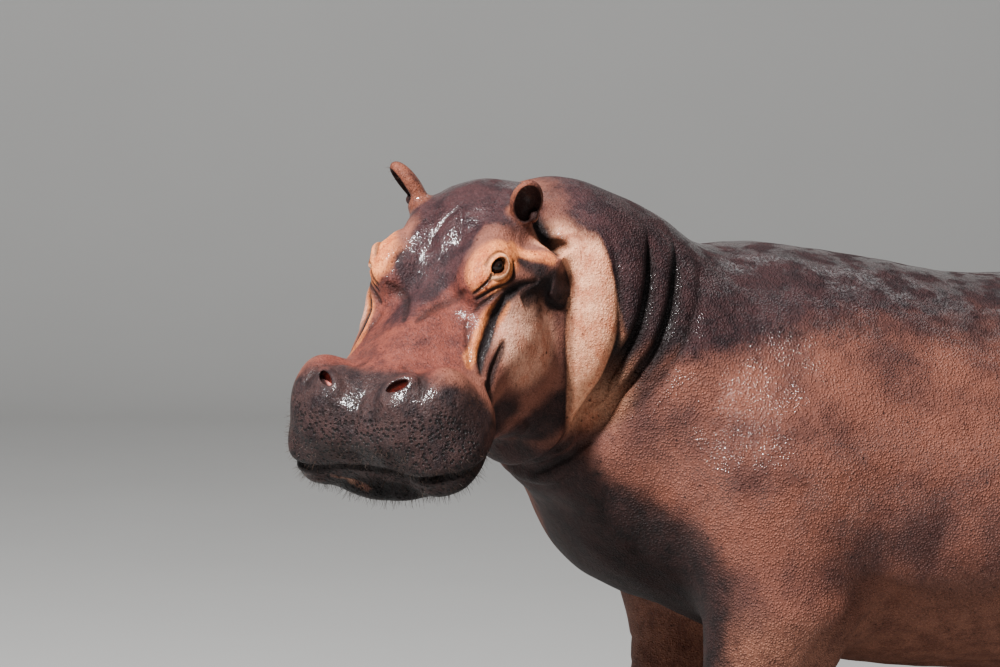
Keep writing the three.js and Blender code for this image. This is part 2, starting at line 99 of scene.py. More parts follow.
head = {
    "eyes": (-861, -325, 1510),  # halfway between the eyes
    "turn": 39,  # degrees to its left
    "pitch": 38,  # the line from eyes to nostrils, below level
    "roll": 2,  # left side lower
    "blend": 70,
    "softness": 4,
}

# the head's own axes run forward, left and up from between the eyes, and both sides are alike
skull = [
    {"at": (-150, 0, -105), "size": (200, 178, 140), "blend": 60},  # cranium
    {"from": (-20, 0, -140), "to": (340, 0, -145), "radii": (108, 122), "blend": 60},  # bridge
    {"from": (320, 105, -180), "to": (40, 115, -180), "radii": (93, 106), "blend": 60},  # snout side
    {"at": (440, 0, -143), "half": (104, 199, 125), "corner": 92, "blend": 60},  # muzzle
    {"at": (410, 163, -192), "size": (146, 96, 108), "blend": 50},  # upper lip
    {"at": (384, 166, -88), "size": (88, 64, 86), "blend": 46},  # tusk root
    {"at": (432, 94, -34), "size": (72, 52, 44), "blend": 30},  # nostril mound
    {"at": (-5, 122, -32), "size": (94, 65, 67), "blend": 55},  # orbit
    {"from": (-60, 104, -8), "to": (-140, 112, -16), "radii": (34, 30), "blend": 40},  # temple
    {"from": (30, 150, -95), "to": (-130, 196, -112), "radii": (54, 50), "blend": 36},  # cheekbone
    {"at": (-88, 204, -150), "size": (35, 38, 58), "blend": 20},  # lobe
    {"at": (25, 125, -265), "size": (185, 98, 200), "blend": 50},  # cheek
    {"from": (445, 55, -275), "to": (-40, 100, -380), "radii": (48, 100), "blend": 45},  # lower jaw
    {"at": (462, 0, -270), "size": (80, 150, 36), "blend": 30},  # lower lip
    {"at": (-80, 0, -370), "size": (230, 190, 180), "blend": 100},  # gullet
    {"from": (-178, 118, -40), "to": (-182, 148, -6), "radii": (42, 24), "blend": 35},  # ear root
]

eye = {
    "at": (4, 158, 2),
    "faces": (0.42, 0.86, 0.3),
    "along": (-1, 0.35, 0),
    "radius": 22,
    "lid": 7,
    "blend": 22,
    "edge": 4,
    "opening": (28, 17.5, 22.5),
    "openingAhead": 4,  # how far its middle stands off the eyeball
    "front": 12,  # rim and fold grow to their full size over this distance forward
    "spread": 18,
    "upper": 0.35,  # the upper lid's share of the rim
    "rim": {"ring": 1.5, "wide": 0.26, "raised": 2.2},
    "fold": {"ring": 1.85, "wide": 0.16, "depth": 4.5},
    "fine": 62,  # the mesh is finer within this distance
}

nostril = {
    "at": (430, 96, -1),
    "faces": (0.55, 0.1, 0.83),
    "along": (-0.62, 0.75, 0.1),
    "slit": (24, 17, 35),
    "sunk": 4,
    "bowl": (13, 32),  # the part with the colour of its inside
    "rim": 11,
    "blend": 14,
    "edge": 6,
    "fine": 62,
}

ears = {
    "left": {"root": (-174, 148, -20), "tip": (-194, 194, 96), "faces": (0.8, 0.62, 0.1)},
    "right": {"root": (-200, -146, -24), "tip": (-226, -206, 82), "faces": (0.6, -0.55, 0.2)},
    "half": (26, 41, 66),
    "cup": (30, 31, 52),
    "cupForward": 17,
    "cupUp": 4,
    "hairRing": 0.88,  # where the hair grows, as a share of the ear's width
    "tragus": {"at": (12, 20, -38), "size": (16, 12, 17), "blend": 8},
    "blend": 15,
    "edge": 6,
    "fine": 84,
}

legs = {
    "front": {
        "chain": [(10, 300, 930, 250), (50, 370, 620, 180), (15, 355, 320, 130), (-5, 350, 120, 122)],
        "stride": {"left": -110, "right": 60},
    },
    "hind": {
        "chain": [(1400, 260, 930, 320), (1335, 345, 650, 232), (1500, 345, 390, 138),
                  (1480, 340, 130, 118)],
        "stride": {"left": 70, "right": -90},
    },
    "hip": 110,  # how softly a leg meets the trunk
    "limb": 50,
}
foot = {"ahead": 32, "height": 58, "size": (150, 138, 88), "blend": 50}
toes = {
    "spread": (-54, -19, 19, 54),
    "reach": (112, 106),
    "height": 46,
    "size": (62, 42, 48),
    "blend": 14,
}

tail = {
    "bones": [
        (1770, 0, 1205, 95),
        (1890, 0, 1135, 64),
        (1955, 0, 1010, 46),
        (1968, 0, 880, 38),
        (1950, 0, 765, 24),
    ],
    "flat": 0.62,
    "blend": 50,
}

# Creases pressed into the skin. A depth below nought is a raised strip. A crease's painted shade
# has the darkness given beside it, and in a crease that fades it lies only low on the neck.
# Those of the head run in its own axes, those of the body in the body's, alike on both sides.
headCreases = {
    "mouth": {"depth": 19, "width": 8, "paintedShade": 1, "path": [
        (552, 0, -174), (550, 90, -182), (540, 158, -180), (520, 208, -188), (484, 240, -214),
        (420, 250, -244), (350, 238, -256), (300, 222, -244), (262, 204, -205), (244, 188, -150),
    ]},
    "underLip": {"depth": 9, "width": 20, "path": [
        (540, 0, -200), (538, 90, -206), (528, 158, -205), (506, 208, -214), (470, 236, -238),
        (410, 244, -264), (350, 232, -274),
    ]},
    "corner": {"depth": 20, "width": 10, "paintedShade": 1, "path": [
        (-52, 224, -96), (-6, 206, -69), (40, 195, -58), (67, 187, -63), (92, 177, -76),
        (121, 173, -89), (155, 175, -99), (199, 178, -109), (246, 186, -140),
    ]},
    "second": {"depth": 12, "width": 8, "paintedShade": 0.9, "path": [
        (122, 206, -124), (166, 202, -138), (206, 202, -146), (249, 206, -168), (280, 214, -200),
    ]},
    "strip": {"depth": -5, "width": 10, "path": [
        (44, 180, -44), (80, 162, -55), (110, 150, -70), (172, 150, -88), (225, 162, -106),
    ]},
    "stripSide": {"depth": 6, "width": 6, "paintedShade": 0.5, "path": [
        (128, 118, -64), (158, 128, -78), (198, 146, -92), (250, 168, -110),
    ]},
    "orbit": {"depth": 8, "width": 15, "path": [
        (77, 108, 0), (51, 98, 18), (13, 88, 27), (-31, 95, 29), (-64, 113, 23), (-88, 137, 3),
        (-112, 156, -31),
    ]},
    "innerCorner": {"depth": 6, "width": 3.5, "paintedShade": 0.9, "path": [
        (27, 157, 3), (42, 160, -6), (59, 154, -8), (73, 145, -12), (90, 129, -20),
    ]},
    "lowerFold": {"depth": 8, "width": 3.5, "paintedShade": 0.95, "path": [
        (-42, 172, -22), (-30, 182, -34), (-4, 188, -43), (23, 185, -39), (45, 173, -29),
        (63, 161, -26), (82, 144, -30), (92, 132, -38),
    ]},
    "underEye": {"depth": 5, "width": 4, "paintedShade": 0.8, "path": [
        (14, 193, -52), (33, 185, -45), (55, 175, -39), (75, 161, -42), (94, 143, -49), (113, 124, -59),
    ]},
    "upperFold": {"depth": 3.5, "width": 3.5, "paintedShade": 0.7, "path": [
        (30, 150, 18), (16, 154, 27), (1, 159, 30), (-20, 162, 20), (-34, 166, 0),
    ]},
    "underCheekbone": {"depth": 11, "width": 20, "paintedShade": 0.9, "path": [
        (-66, 240, -140), (-46, 232, -122), (-12, 218, -104), (24, 208, -94),
    ]},
    "lobeEdge": {"depth": 12, "width": 6, "paintedShade": 0.9, "path": [
        (-104, 257, -192), (-90, 253, -203), (-76, 248, -203), (-62, 240, -192), (-53, 230, -165),
        (-56, 228, -140),
    ]},
    "cheekRear": {"depth": 10, "width": 8, "paintedShade": 0.6, "path": [
        (-136, 244, -106), (-142, 249, -139), (-139, 252, -162), (-122, 257, -184), (-92, 257, -206),
        (-66, 256, -236), (-23, 254, -296), (9, 246, -367), (34, 228, -448), (56, 210, -500),
        (96, 180, -540),
    ]},
    "behindEar": {"depth": 38, "width": 18, "paintedShade": 1, "path": [
        (-232, 140, -40), (-217, 160, -60), (-206, 178, -78), (-190, 197, -90), (-172, 224, -92),
        (-162, 244, -110),
    ]},
    "forehead": {"depth": 6, "width": 9, "path": [
        (-161, 1, 35), (-102, 24, 30), (-48, 40, 16), (-22, 26, 6),
    ]},
    "bridge": {"depth": 6, "width": 7, "paintedShade": 0.6, "path": [
        (84, 111, -9), (88, 84, -30), (96, 62, -37), (129, 40, -34), (194, 15, -27),
    ]},
    "nostrilArc": {"depth": 5, "width": 7, "paintedShade": 0.5, "path": [
        (330, 44, -30), (338, 84, -26), (360, 118, -12), (404, 150, 0), (450, 164, -12),
    ]},
    "philtrum": {"depth": 9, "width": 10, "paintedShade": 0.3, "path": [
        (455, 0, -10), (500, 2, -28), (530, 2, -62),
    ]},
    "nostrilFront": {"depth": 5, "width": 5, "paintedShade": 0.4, "path": [
        (484, 76, -2), (500, 58, -18), (516, 42, -44),
    ]},
    "jowl": {"depth": 13, "width": 9, "paintedShade": 0.8, "fades": True, "path": [
        (-185, 358, -339), (-142, 347, -366), (-102, 324, -398), (-64, 296, -430), (-38, 290, -452),
        (-15, 281, -475), (55, 236, -532), (98, 161, -558), (101, 82, -590), (60, -10, -640),
    ]},
    "dewlap": {"depth": 10, "width": 8, "paintedShade": 0.8, "fades": True, "path": [
        (-240, 393, -387), (-190, 387, -407), (-143, 372, -432), (-96, 344, -458), (-50, 310, -490),
        (11, 272, -533), (69, 222, -569), (95, 154, -601), (92, 72, -640),
    ]},
    "jaw": {"depth": 7, "width": 14, "path": [
        (240, 206, -330), (180, 214, -372), (140, 200, -420), (128, 135, -462), (118, 55, -515),
    ]},
}
bodyCreases = {
    "shoulder": {"depth": 9, "width": 36, "path": [
        (250, -470, 1220), (330, -560, 1060), (370, -610, 880), (330, -590, 700),
    ]},
    "armpit": {"depth": 16, "width": 26, "path": [(280, -560, 640), (235, -500, 540), (200, -420, 470)]},
    "flank": {"depth": 13, "width": 32, "path": [
        (1080, -560, 1120), (1050, -620, 960), (1030, -620, 760), (1010, -560, 580), (960, -440, 440),
    ]},
    "thigh": {"depth": 9, "width": 26, "path": [
        (1560, -420, 1080), (1650, -400, 900), (1660, -390, 760), (1600, -380, 640),
    ]},
    "belly": {"depth": 6, "width": 30, "path": [
        (380, -500, 520), (560, -510, 480), (760, -510, 470), (930, -500, 490),
    ]},
}
legFolds = {
    "levels": (96, 168, 226, 318, 350, 436),
    "depth": 6,
    "width": 7,
    "sway": 16,  # how far a fold rises and falls round the leg
    "waves": (70, 90),
    "top": 520,
    "fade": 80,
}
creaseForm = {
    "steps": 5,  # samples between two of a crease's points
    "reach": 4,  # in widths, how far out it is worked out
    "blunt": 0.35,  # in widths, how rounded its bottom is
    "taper": 0.2,  # the share of its length over which an end runs out
    "middle": 12,  # one that starts this near the head's middle doesn't run out there
    # how far the creases' painted shade spreads, the share of depth over which it darkens, and the
    # heights over which one that fades loses it going up
    "paintedShadeWider": 1.2,
    "paintedShadeShare": (0.12, 0.55),
    "paintedShadeHeights": (-1130, -990),
}
unevenness = {"depth": 1.6, "full": 60}  # full at this height and above

# distances, negative inside; a point is three arrays


def join(a, b, k):
    h = np.clip(0.5 + 0.5 * (b - a) / k, 0, 1)
    return b + (a - b) * h - k * h * (1 - h)


def carve(a, b, k):
    return -join(-a, b, k)


def ball(p, at, size, turn=0):
    x, y, z = p[0] - at[0], p[1] - at[1], p[2] - at[2]
    if turn:
        c, s = math.cos(math.radians(turn)), math.sin(math.radians(turn))
        x, y = c * x + s * y, c * y - s * x
    a, b, c = size
    near = np.sqrt((x / a) ** 2 + (y / b) ** 2 + (z / c) ** 2)
    steep = np.sqrt((x / a**2) ** 2 + (y / b**2) ** 2 + (z / c**2) ** 2)
    return near * (near - 1) / np.maximum(steep, 1e-6)


def bar(p, start, end, radii):
    run = [end[i] - start[i] for i in range(3)]
    q = [p[i] - start[i] for i in range(3)]
    t = np.clip(sum(q[i] * run[i] for i in range(3)) / sum(v * v for v in run), 0, 1)
    away = np.sqrt(sum((q[i] - t * run[i]) ** 2 for i in range(3)))
    return away - (radii[0] + (radii[1] - radii[0]) * t)


def block(p, at, half, corner):
    q = [np.abs(p[i] - at[i]) - (half[i] - corner) for i in range(3)]
    outside = np.sqrt(sum(np.maximum(v, 0) ** 2 for v in q))
    return outside + np.minimum(np.maximum(np.maximum(q[0], q[1]), q[2]), 0) - corner


def mass(p, form):
    if "size" in form:
        return ball(p, form["at"], form["size"], form.get("turn", 0))
    if "half" in form:
        return block(p, form["at"], form["half"], form["corner"])
    return bar(p, form["from"], form["to"], form["radii"])


def axesOf(along, faces):
    # unit vectors: the way it faces, across it, and along it
    run = np.array(along, float)
    run /= np.linalg.norm(run)
    out = np.array(faces, float)
    out -= run * (out @ run)
    out /= np.linalg.norm(out)
    return np.array([out, np.cross(run, out), run])


def within(axes, at, p):
    return axes @ (p - np.array(at, float)[:, None])


def headAxes():
    turn, pitch, roll = (math.radians(head[key]) for key in ("turn", "pitch", "roll"))
    level = np.array([math.sin(turn), -math.cos(turn), 0])
    ahead = np.array([math.cos(turn), math.sin(turn)]) * math.cos(pitch)
    forward = -np.array([*ahead, math.sin(pitch)])
    left = level * math.cos(roll) - np.cross(forward, level) * math.sin(roll)
    return np.array([forward, left, np.cross(forward, left)])


headTurn = headAxes()


def toHead(p):
    return within(headTurn, head["eyes"], p)


def fromHead(q):
    return headTurn.T @ np.asarray(q, float) + np.array(head["eyes"], float)[:, None]


def bothSides(q):
    return np.array([q[0], np.sqrt(q[1] ** 2 + head["softness"] ** 2), q[2]])


def smooth(x, low, high):
    t = np.clip((x - low) / (high - low), 0, 1)
    return t * t * (3 - 2 * t)


def trunkField(p):
    s = np.array(trunk["stations"], float)
    x = np.clip(p[0], s[0, 0], s[-1, 0])
    i = np.clip(np.searchsorted(s[:, 0], x, side="right") - 1, 0, len(s) - 2)
    step = s[i + 1, 0] - s[i, 0]
    t = (x - s[i, 0]) / step
    slope = np.zeros_like(s)
    slope[1:-1] = (s[2:] - s[:-2]) / (s[2:, :1] - s[:-2, :1])
    weights = (2 * t**3 - 3 * t**2 + 1, t**3 - 2 * t**2 + t, 3 * t**2 - 2 * t**3, t**3 - t**2)
    back, belly, wide, middle = (
        weights[0] * s[i, c] + weights[1] * step * slope[i, c]
        + weights[2] * s[i + 1, c] + weights[3] * step * slope[i + 1, c]
        for c in (1, 2, 3, 4)
    )
    rise = p[2] - middle
    tall = np.where(rise > 0, back - middle, middle - belly)
    past = np.maximum(np.maximum(s[0, 0] - p[0], p[0] - s[-1, 0]), 0)
    over = past / np.where(p[0] < s[0, 0], trunk["chest"], trunk["rump"])
    share = np.maximum(np.sqrt((p[1] / wide) ** 2 + (rise / tall) ** 2 + over**2), 0.05)
    return np.sqrt(p[1] ** 2 + rise**2 + past**2) * (1 - 1 / share)


def chainOf(p, bones, blend):
    d = None
    for a, b in zip(bones[:-1], bones[1:]):
        length = bar(p, a[:3], b[:3], (a[3], b[3]))
        d = length if d is None else join(d, length, blend)
    return d


sides = {"left": -1, "right": 1}


def footAt(pair, side):
    x, y = legs[pair]["chain"][-1][:2]
    return x + legs[pair]["stride"][side] - foot["ahead"], sides[side] * y, foot["height"]


def toeAt(pair, side, spread, reach):
    x, y, _ = footAt(pair, side)
    angle = math.radians(spread)
    return x - reach[0] * math.cos(angle), y + reach[1] * math.sin(angle)


def legField(p, pair, side):
    chain, stride = legs[pair]["chain"], legs[pair]["stride"][side]
    last = len(chain) - 1
    bones = [(x + stride * i / last, sides[side] * y, z, r) for i, (x, y, z, r) in enumerate(chain)]
    d = chainOf(p, bones, legs["limb"])
    d = join(d, ball(p, footAt(pair, side), foot["size"]), foot["blend"])
    for spread in toes["spread"]:
        at = (*toeAt(pair, side, spread, toes["reach"]), toes["height"])
        d = join(d, ball(p, at, toes["size"], spread), toes["blend"])
    return d


def tailField(p):
    q = np.array([p[0], p[1] / tail["flat"], p[2]])
    return tail["flat"] * chainOf(q, tail["bones"], tail["blend"] / 2)


def foldDepth(p, widths=1.0):
    # how deep the neck's rings go at each point
    turn = math.radians(folds["turn"])
    gathered = np.clip(0.5 - p[1] / folds["gather"], folds["least"], 1)
    low, lowSoft = folds["bottomFade"]
    depth = 0
    for ring in folds["rings"]:
        lean = math.radians(ring["lean"])
        x, z = ring["at"]
        flat = (p[0] - x) * math.cos(turn) + (p[1] - folds["through"]) * math.sin(turn)
        behind = flat * math.cos(lean) - (p[2] - z) * math.sin(lean)
        under = 1 / (1 + np.exp(np.clip((p[2] - ring["top"]) / folds["topFade"], -50, 50)))
        depth = depth + ring["depth"] * np.exp(-np.sqrt(behind**2 + 9) / (ring["width"] * widths)) * under
    return depth * gathered / (1 + np.exp(np.clip((low - p[2]) / lowSoft, -50, 50)))


def ringOf(n, size):
    # 1 on the rim of an oval opening, less inside it
    return np.sqrt((n[1] / size[0]) ** 2 + (n[2] / size[1]) ** 2)


def belowEye(n):
    # 1 below and behind the eye, 0 above it
    return smooth(n[1] + 0.5 * n[2], -14, 10)


def eyeForms(d, m):
    n = within(axesOf(eye["along"], eye["faces"]), eye["at"], m)
    away = np.sqrt((n**2).sum(0))
    d = join(d, away - (eye["radius"] + eye["lid"]), eye["blend"])
    ring = ringOf(n, eye["opening"][1:])
    off = (away - eye["radius"] - eye["lid"]) / eye["spread"]
    facing = np.clip(n[0] / eye["front"], 0, 1) * np.exp(-off**2)
    rim, fold = eye["rim"], eye["fold"]
    lower = eye["upper"] + (1 - eye["upper"]) * belowEye(n)
    d = d - rim["raised"] * lower * facing * np.exp(-(((ring - rim["ring"]) / rim["wide"]) ** 2))
    d = d + fold["depth"] * facing * np.exp(-(((ring - fold["ring"]) / fold["wide"]) ** 2))
    opening = ball(n, (eye["radius"] + eye["openingAhead"], 0, 0), eye["opening"])
    return carve(d, opening, eye["edge"])


def nostrilForms(d, m):
    n = within(axesOf(nostril["along"], nostril["faces"]), nostril["at"], m)
    _, wide, long = nostril["slit"]
    ring = ringOf(n, (wide, long)) - 1
    lip = np.sqrt((ring * wide) ** 2 * 2 + n[0] ** 2) - nostril["rim"]
    slit = ball(n, (-nostril["sunk"], 0, 0), nostril["slit"])
    return carve(join(d, lip, nostril["blend"]), slit, nostril["edge"])


def inEar(q, side, up=0):
    # a point in the axes of one ear, from its middle or a share of its length further up
    root, tip = (np.array(ears[side][end], float) for end in ("root", "tip"))
    return within(axesOf(tip - root, ears[side]["faces"]), (root + tip) / 2 + up * (tip - root), q)


def earForms(d, q):
    tragus = ears["tragus"]
    for side in sides:
        n = inEar(q, side)
        d = join(d, ball(n, (0, 0, 0), ears["half"]), ears["blend"])
        d = carve(d, ball(n, (ears["cupForward"], 0, ears["cupUp"]), ears["cup"]), ears["edge"])
        inner = [n[0], -sides[side] * n[1], n[2]]
        d = join(d, ball(inner, tragus["at"], tragus["size"]), tragus["blend"])
    return d


def headField(q):
    m = bothSides(q)
    d = None
    for form in skull:
        d = mass(m, form) if d is None else join(d, mass(m, form), form["blend"])
    return nostrilForms(eyeForms(earForms(d, q), m), m)


# each part is worked out only where it can reach
reachOf = {
    "head": ((-1500, -900, 500), (-350, 300, 1850)),
    "neck": ((-1000, -700, 400), (400, 700, 1900)),
    "front": ((-500, -900, -100), (700, 900, 1500)),
    "hind": ((900, -900, -100), (2100, 900, 1500)),
    "tail": ((1500, -300, 500), (2200, 300, 1500)),
}


def inBox(p, low, high):
    return np.nonzero(np.all([(p[i] > low[i]) & (p[i] < high[i]) for i in range(3)], axis=0))[0]


def inReach(p, part):
    return inBox(p, *reachOf[part])


def bodyField(p):
    d = trunkField(p)
    for pair in ("front", "hind"):
        near = inReach(p, pair)
        for side in sides:
            d[near] = join(d[near], legField(p[:, near], pair, side), legs["hip"])
    near = inReach(p, "neck")
    for form in neck:
        d[near] = join(d[near], mass(p[:, near], form), form["blend"])
    d[near] += foldDepth(p[:, near])
    near = inReach(p, "head")
    d[near] = join(d[near], headField(toHead(p[:, near])), head["blend"])
    near = inReach(p, "tail")
    d[near] = join(d[near], tailField(p[:, near]), tail["blend"])
    return np.maximum(d, -p[2])


def settle(p, field, rounds=3, probe=0.8, stride=9):
    # slides points down the slope of the field until they lie on the skin
    for _ in range(rounds):
        d = field(p)
        slope = np.array([(field(p + probe * np.eye(3)[:, i:i + 1]) - d) / probe for i in range(3)])
        move = d * slope / np.maximum((slope**2).sum(0), 0.1)
        length = np.sqrt((move**2).sum(0))
        p = p - move * np.minimum(1, stride / np.maximum(length, 1e-9))
    return p


def smoothPath(points, steps):
    # a curve through the points, with steps samples between two of them
    s = np.array([points[0], *points, points[-1]], float)
    path = []
    for i in range(1, len(s) - 2):
        for t in np.arange(steps) / steps:
            path.append(0.5 * (2 * s[i] + (s[i + 1] - s[i - 1]) * t
                               + (2 * s[i - 1] - 5 * s[i] + 4 * s[i + 1] - s[i + 2]) * t**2
                               + (3 * s[i] - s[i - 1] - 3 * s[i + 1] + s[i + 2]) * t**3))
    return np.array([*path, s[-1]])


def layCreases():
    # sets each crease's path on the skin
    for crease in headCreases.values():
        path = fromHead(smoothPath(crease["path"], creaseForm["steps"]).T)
        crease["laid"] = toHead(settle(path, bodyField, rounds=8)).T
    for crease in bodyCreases.values():
        path = smoothPath(crease["path"], creaseForm["steps"]).T
        crease["laid"] = bothSides(settle(path, bodyField, rounds=8)).T


def creaseDepth(m, d, crease):
    # how deep a crease goes at each point, d from the plain skin; it runs out at its open ends
    laid, width = crease["laid"], crease["width"]
    depth = np.zeros(m.shape[1])
    reach = creaseForm["reach"] * width + abs(crease["depth"])
    near = inBox(m, laid.min(0) - reach, laid.max(0) + reach)
    if not len(near):
        return depth
    q = m[:, near]
    best, place = np.full(len(near), 1e9), np.zeros(len(near))
    last = len(laid) - 1
    for n in range(last):
        run = laid[n + 1] - laid[n]
        away = q - laid[n][:, None]
        t = np.clip((run @ away) / max(run @ run, 1e-6), 0, 1)
        far = ((away - run[:, None] * t) ** 2).sum(0)
        closer = far < best
        best = np.where(closer, far, best)
        place = np.where(closer, (n + t) / last, place)
    taper = np.clip((1 - place) / creaseForm["taper"], 0, 1)
    if laid[0][1] >= creaseForm["middle"]:
        taper = np.clip(place / creaseForm["taper"], 0, 1) * taper
    blunt = creaseForm["blunt"] * width
    along = np.sqrt(np.maximum(best - d[near] ** 2, 0) + blunt**2) - blunt  # distance along the skin
    depth[near] = crease["depth"] * np.exp(-along / width) * np.sqrt(taper)
    return depth


def legFoldDepth(p):
    # folds that ring the legs above the foot
    x, y, z = p
    ahead, across = legFolds["waves"]
    depth = 0
    for i, level in enumerate(legFolds["levels"]):
        rise = z - level - legFolds["sway"] * np.sin(x / ahead + 1.7 * i) * np.cos(y / across + i)
        depth = depth + np.exp(-np.sqrt(rise**2 + 2) / legFolds["width"])
    return legFolds["depth"] * depth * smooth(-z, -legFolds["top"], legFolds["fade"] - legFolds["top"])


def ripples(p):
    # slow unevenness, in sums of waves
    x, y, z = p / 100
    return (np.sin(1.7 * x + 2.3 * z + 1.1 * np.sin(1.9 * y)) * np.sin(2.1 * y - 1.3 * z + 0.7)
            + 0.5 * np.sin(4.3 * x - 3.1 * y + 2.2) * np.sin(3.7 * z + 2.9 * x))


def pressed(p, d):
    # what the creases take off the plain skin, d from it
    depth = legFoldDepth(p)
    body = bothSides(p)
    for crease in bodyCreases.values():
        depth += creaseDepth(body, d, crease)
    near = inReach(p, "head")
    m = bothSides(toHead(p[:, near]))
    for crease in headCreases.values():
        depth[near] += creaseDepth(m, d[near], crease)
    return depth


def paintedCreaseShade(p):
    # how dark the painted shade in the head's creases is at each point
    dark = np.zeros(p.shape[1])
    near = inReach(p, "head")
    m = bothSides(toHead(p[:, near]))
    flat = inPieces(bodyField, p[:, near])
    low = smooth(-p[2][near], *creaseForm["paintedShadeHeights"])
    for crease in headCreases.values():
        if "paintedShade" in crease:
            wider = {**crease, "width": creaseForm["paintedShadeWider"] * crease["width"]}
            share = smooth(creaseDepth(m, flat, wider) / crease["depth"], *creaseForm["paintedShadeShare"])
            strength = crease["paintedShade"] * (low if "fades" in crease else 1)
            dark[near] = np.maximum(dark[near], strength * share)
    return dark


def skinField(p):
    # the body with its creases
    d = bodyField(p)
    uneven = unevenness["depth"] * ripples(p) * np.clip(p[2] / unevenness["full"], 0, 1)
    return np.maximum(d + pressed(p, d) + uneven, -p[2])


# the skin's mesh
coarse = 1.0
skinGrid = {
    # first place, last place and spacing of the grid lines on each axis
    "x": [(-1300, -560, 5), (-560, -100, 7), (-100, 700, 16), (700, 2080, 20)],
    "y": [(-730, 130, 5.5), (130, 670, 16)],
    "z": [(-40, 140, 10), (140, 820, 16), (820, 1760, 5.5)],
    "block": 6,  # grid lines to a block, which is left out where it is far from the skin
    "near": (1.5, 45),  # in radii of a block, and in millimetres
    "relax": 2,
    "steepCrease": 1.6,  # a crease deeper than this many widths is refined twice
    "creaseShare": 0.12,
    "triangles": 192000,
}


def gridLines(runs):
    counts = [max(int(round((b - a) / (step * coarse))), 2) for a, b, step in runs]
    even = [np.linspace(a, b, count, endpoint=False) for (a, b, _), count in zip(runs, counts)]
    return np.concatenate([*even, [runs[-1][1]]])


def inPieces(field, p, most=400000):
    return np.concatenate([field(p[:, i:i + most]) for i in range(0, p.shape[1], most)])


def gridValues(axes):
    # the field on every grid point near the skin, and its sign elsewhere
    cube = skinGrid["block"]
    shape = [len(a) for a in axes]
    count = [math.ceil(n / cube) for n in shape]
    edges = [a[np.minimum(np.arange(c + 1) * cube, len(a) - 1)] for a, c in zip(axes, count)]
    centres = [(e[1:] + e[:-1]) / 2 for e in edges]
    halves = [(e[1:] - e[:-1]) / 2 for e in edges]
    at = np.array(np.meshgrid(*centres, indexing="ij")).reshape(3, -1)
    radius = np.sqrt(sum(h**2 for h in np.meshgrid(*halves, indexing="ij")))
    rough = inPieces(bodyField, at).reshape(count)
    radii, more = skinGrid["near"]
    active = np.abs(rough) < radius * radii + more
    spread = rough
    for axis, n in enumerate(shape):
        spread = np.repeat(spread, cube, axis=axis).take(np.arange(n), axis=axis)
        active = np.repeat(active, cube, axis=axis).take(np.arange(n), axis=axis)
    for axis in range(3):
        active = active | np.roll(active, 1, axis=axis)
    values = spread.astype(np.float32)
    index = np.nonzero(active)
    values[index] = inPieces(bodyField, np.array([axes[i][index[i]] for i in range(3)]))
    return values


def wrapSkin():
    # one vertex in each cell that the skin crosses, one quad round each edge that it crosses
    axes = [gridLines(skinGrid[key]) for key in "xyz"]
    values = gridValues(axes)
    report(f"field on {values.size} grid points")
    inside = values < 0
    corners = [(a, b, c) for a in (0, 1) for b in (0, 1) for c in (0, 1)]
    n = values.shape
    x, y, z = (size - 1 for size in n)
    filled = sum(inside[a:x + a, b:y + b, c:z + c].astype(np.int8) for a, b, c in corners)
    cell = np.array(np.nonzero((filled > 0) & (filled < 8)))
    vertexOf = np.full(n, -1, np.int32)
    vertexOf[tuple(cell)] = np.arange(cell.shape[1])
    total = np.zeros((3, cell.shape[1]))
    hits = np.zeros(cell.shape[1])
    for a in corners:
        for axis in range(3):
            if a[axis]:
                continue
            b = [a[i] + (i == axis) for i in range(3)]
            ends = [cell + np.array(c)[:, None] for c in (a, b)]
            v = [values[tuple(e)] for e in ends]
            crossed = (v[0] < 0) != (v[1] < 0)
            t = np.where(crossed, v[0] / np.where(crossed, v[0] - v[1], 1), 0)
            first, second = (np.array([axes[i][e[i]] for i in range(3)]) for e in ends)
            total += np.where(crossed, first + (second - first) * t, 0)
            hits += crossed
    points = total / hits
    quads = []
    for axis in range(3):
        u, w = np.zeros(3, int), np.zeros(3, int)
        u[(axis + 1) % 3] = 1
        w[(axis + 2) % 3] = 1
        low = [slice(0, n[i] - 1) if i == axis else slice(1, n[i] - 1) for i in range(3)]
        high = [slice(1, n[i]) if i == axis else slice(1, n[i] - 1) for i in range(3)]
        here, there = inside[tuple(low)], inside[tuple(high)]
        edge = np.array(np.nonzero(here != there))
        outward = here[tuple(edge)]
        edge = edge + np.array([0 if i == axis else 1 for i in range(3)])[:, None]
        steps = ((0, 0), (1, 0), (1, 1), (0, 1))
        quad = np.array([vertexOf[tuple(edge - s * u[:, None] - t * w[:, None])] for s, t in steps]).T
        quads.append(np.where(outward[:, None], quad, quad[:, ::-1]))
    return points, np.concatenate(quads)


def relaxed(points, edges, rounds, share=0.6):
    # evens out the mesh along the skin
    start, end = edges.T
    count = points.shape[1]
    degree = np.maximum(np.bincount(start, minlength=count) + np.bincount(end, minlength=count), 1)
    for _ in range(rounds):
        near = np.array([
            np.bincount(start, row[end], count) + np.bincount(end, row[start], count) for row in points
        ])
        points = points * (1 - share) + near / degree * share
    return points


def valuesOf(rows, key, width, kind=np.float32):
    flat = np.empty(len(rows) * width, kind)
    rows.foreach_get(key, flat)
    return flat.reshape(-1, width)


def edgesOf(mesh):
    return valuesOf(mesh.edges, "vertices", 2, np.int32)


def coordinatesOf(mesh):
    return valuesOf(mesh.vertices, "co", 3).astype(float)


eyeCentre = fromHead(np.array([eye["at"]], float).T)[:, 0]
cadEye = sum(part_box("eye_left"), Vector()) / 2
shift = np.array(cadEye) / millimetre - eyeCentre
shift[2] = 0


def toRow(points):
    return (points + shift[:, None]).T * millimetre


def fromRow(coordinates):
    return coordinates.T / millimetre - shift[:, None]


def smoothed(mesh):
    mesh.polygons.foreach_set("use_smooth", np.ones(len(mesh.polygons), bool))


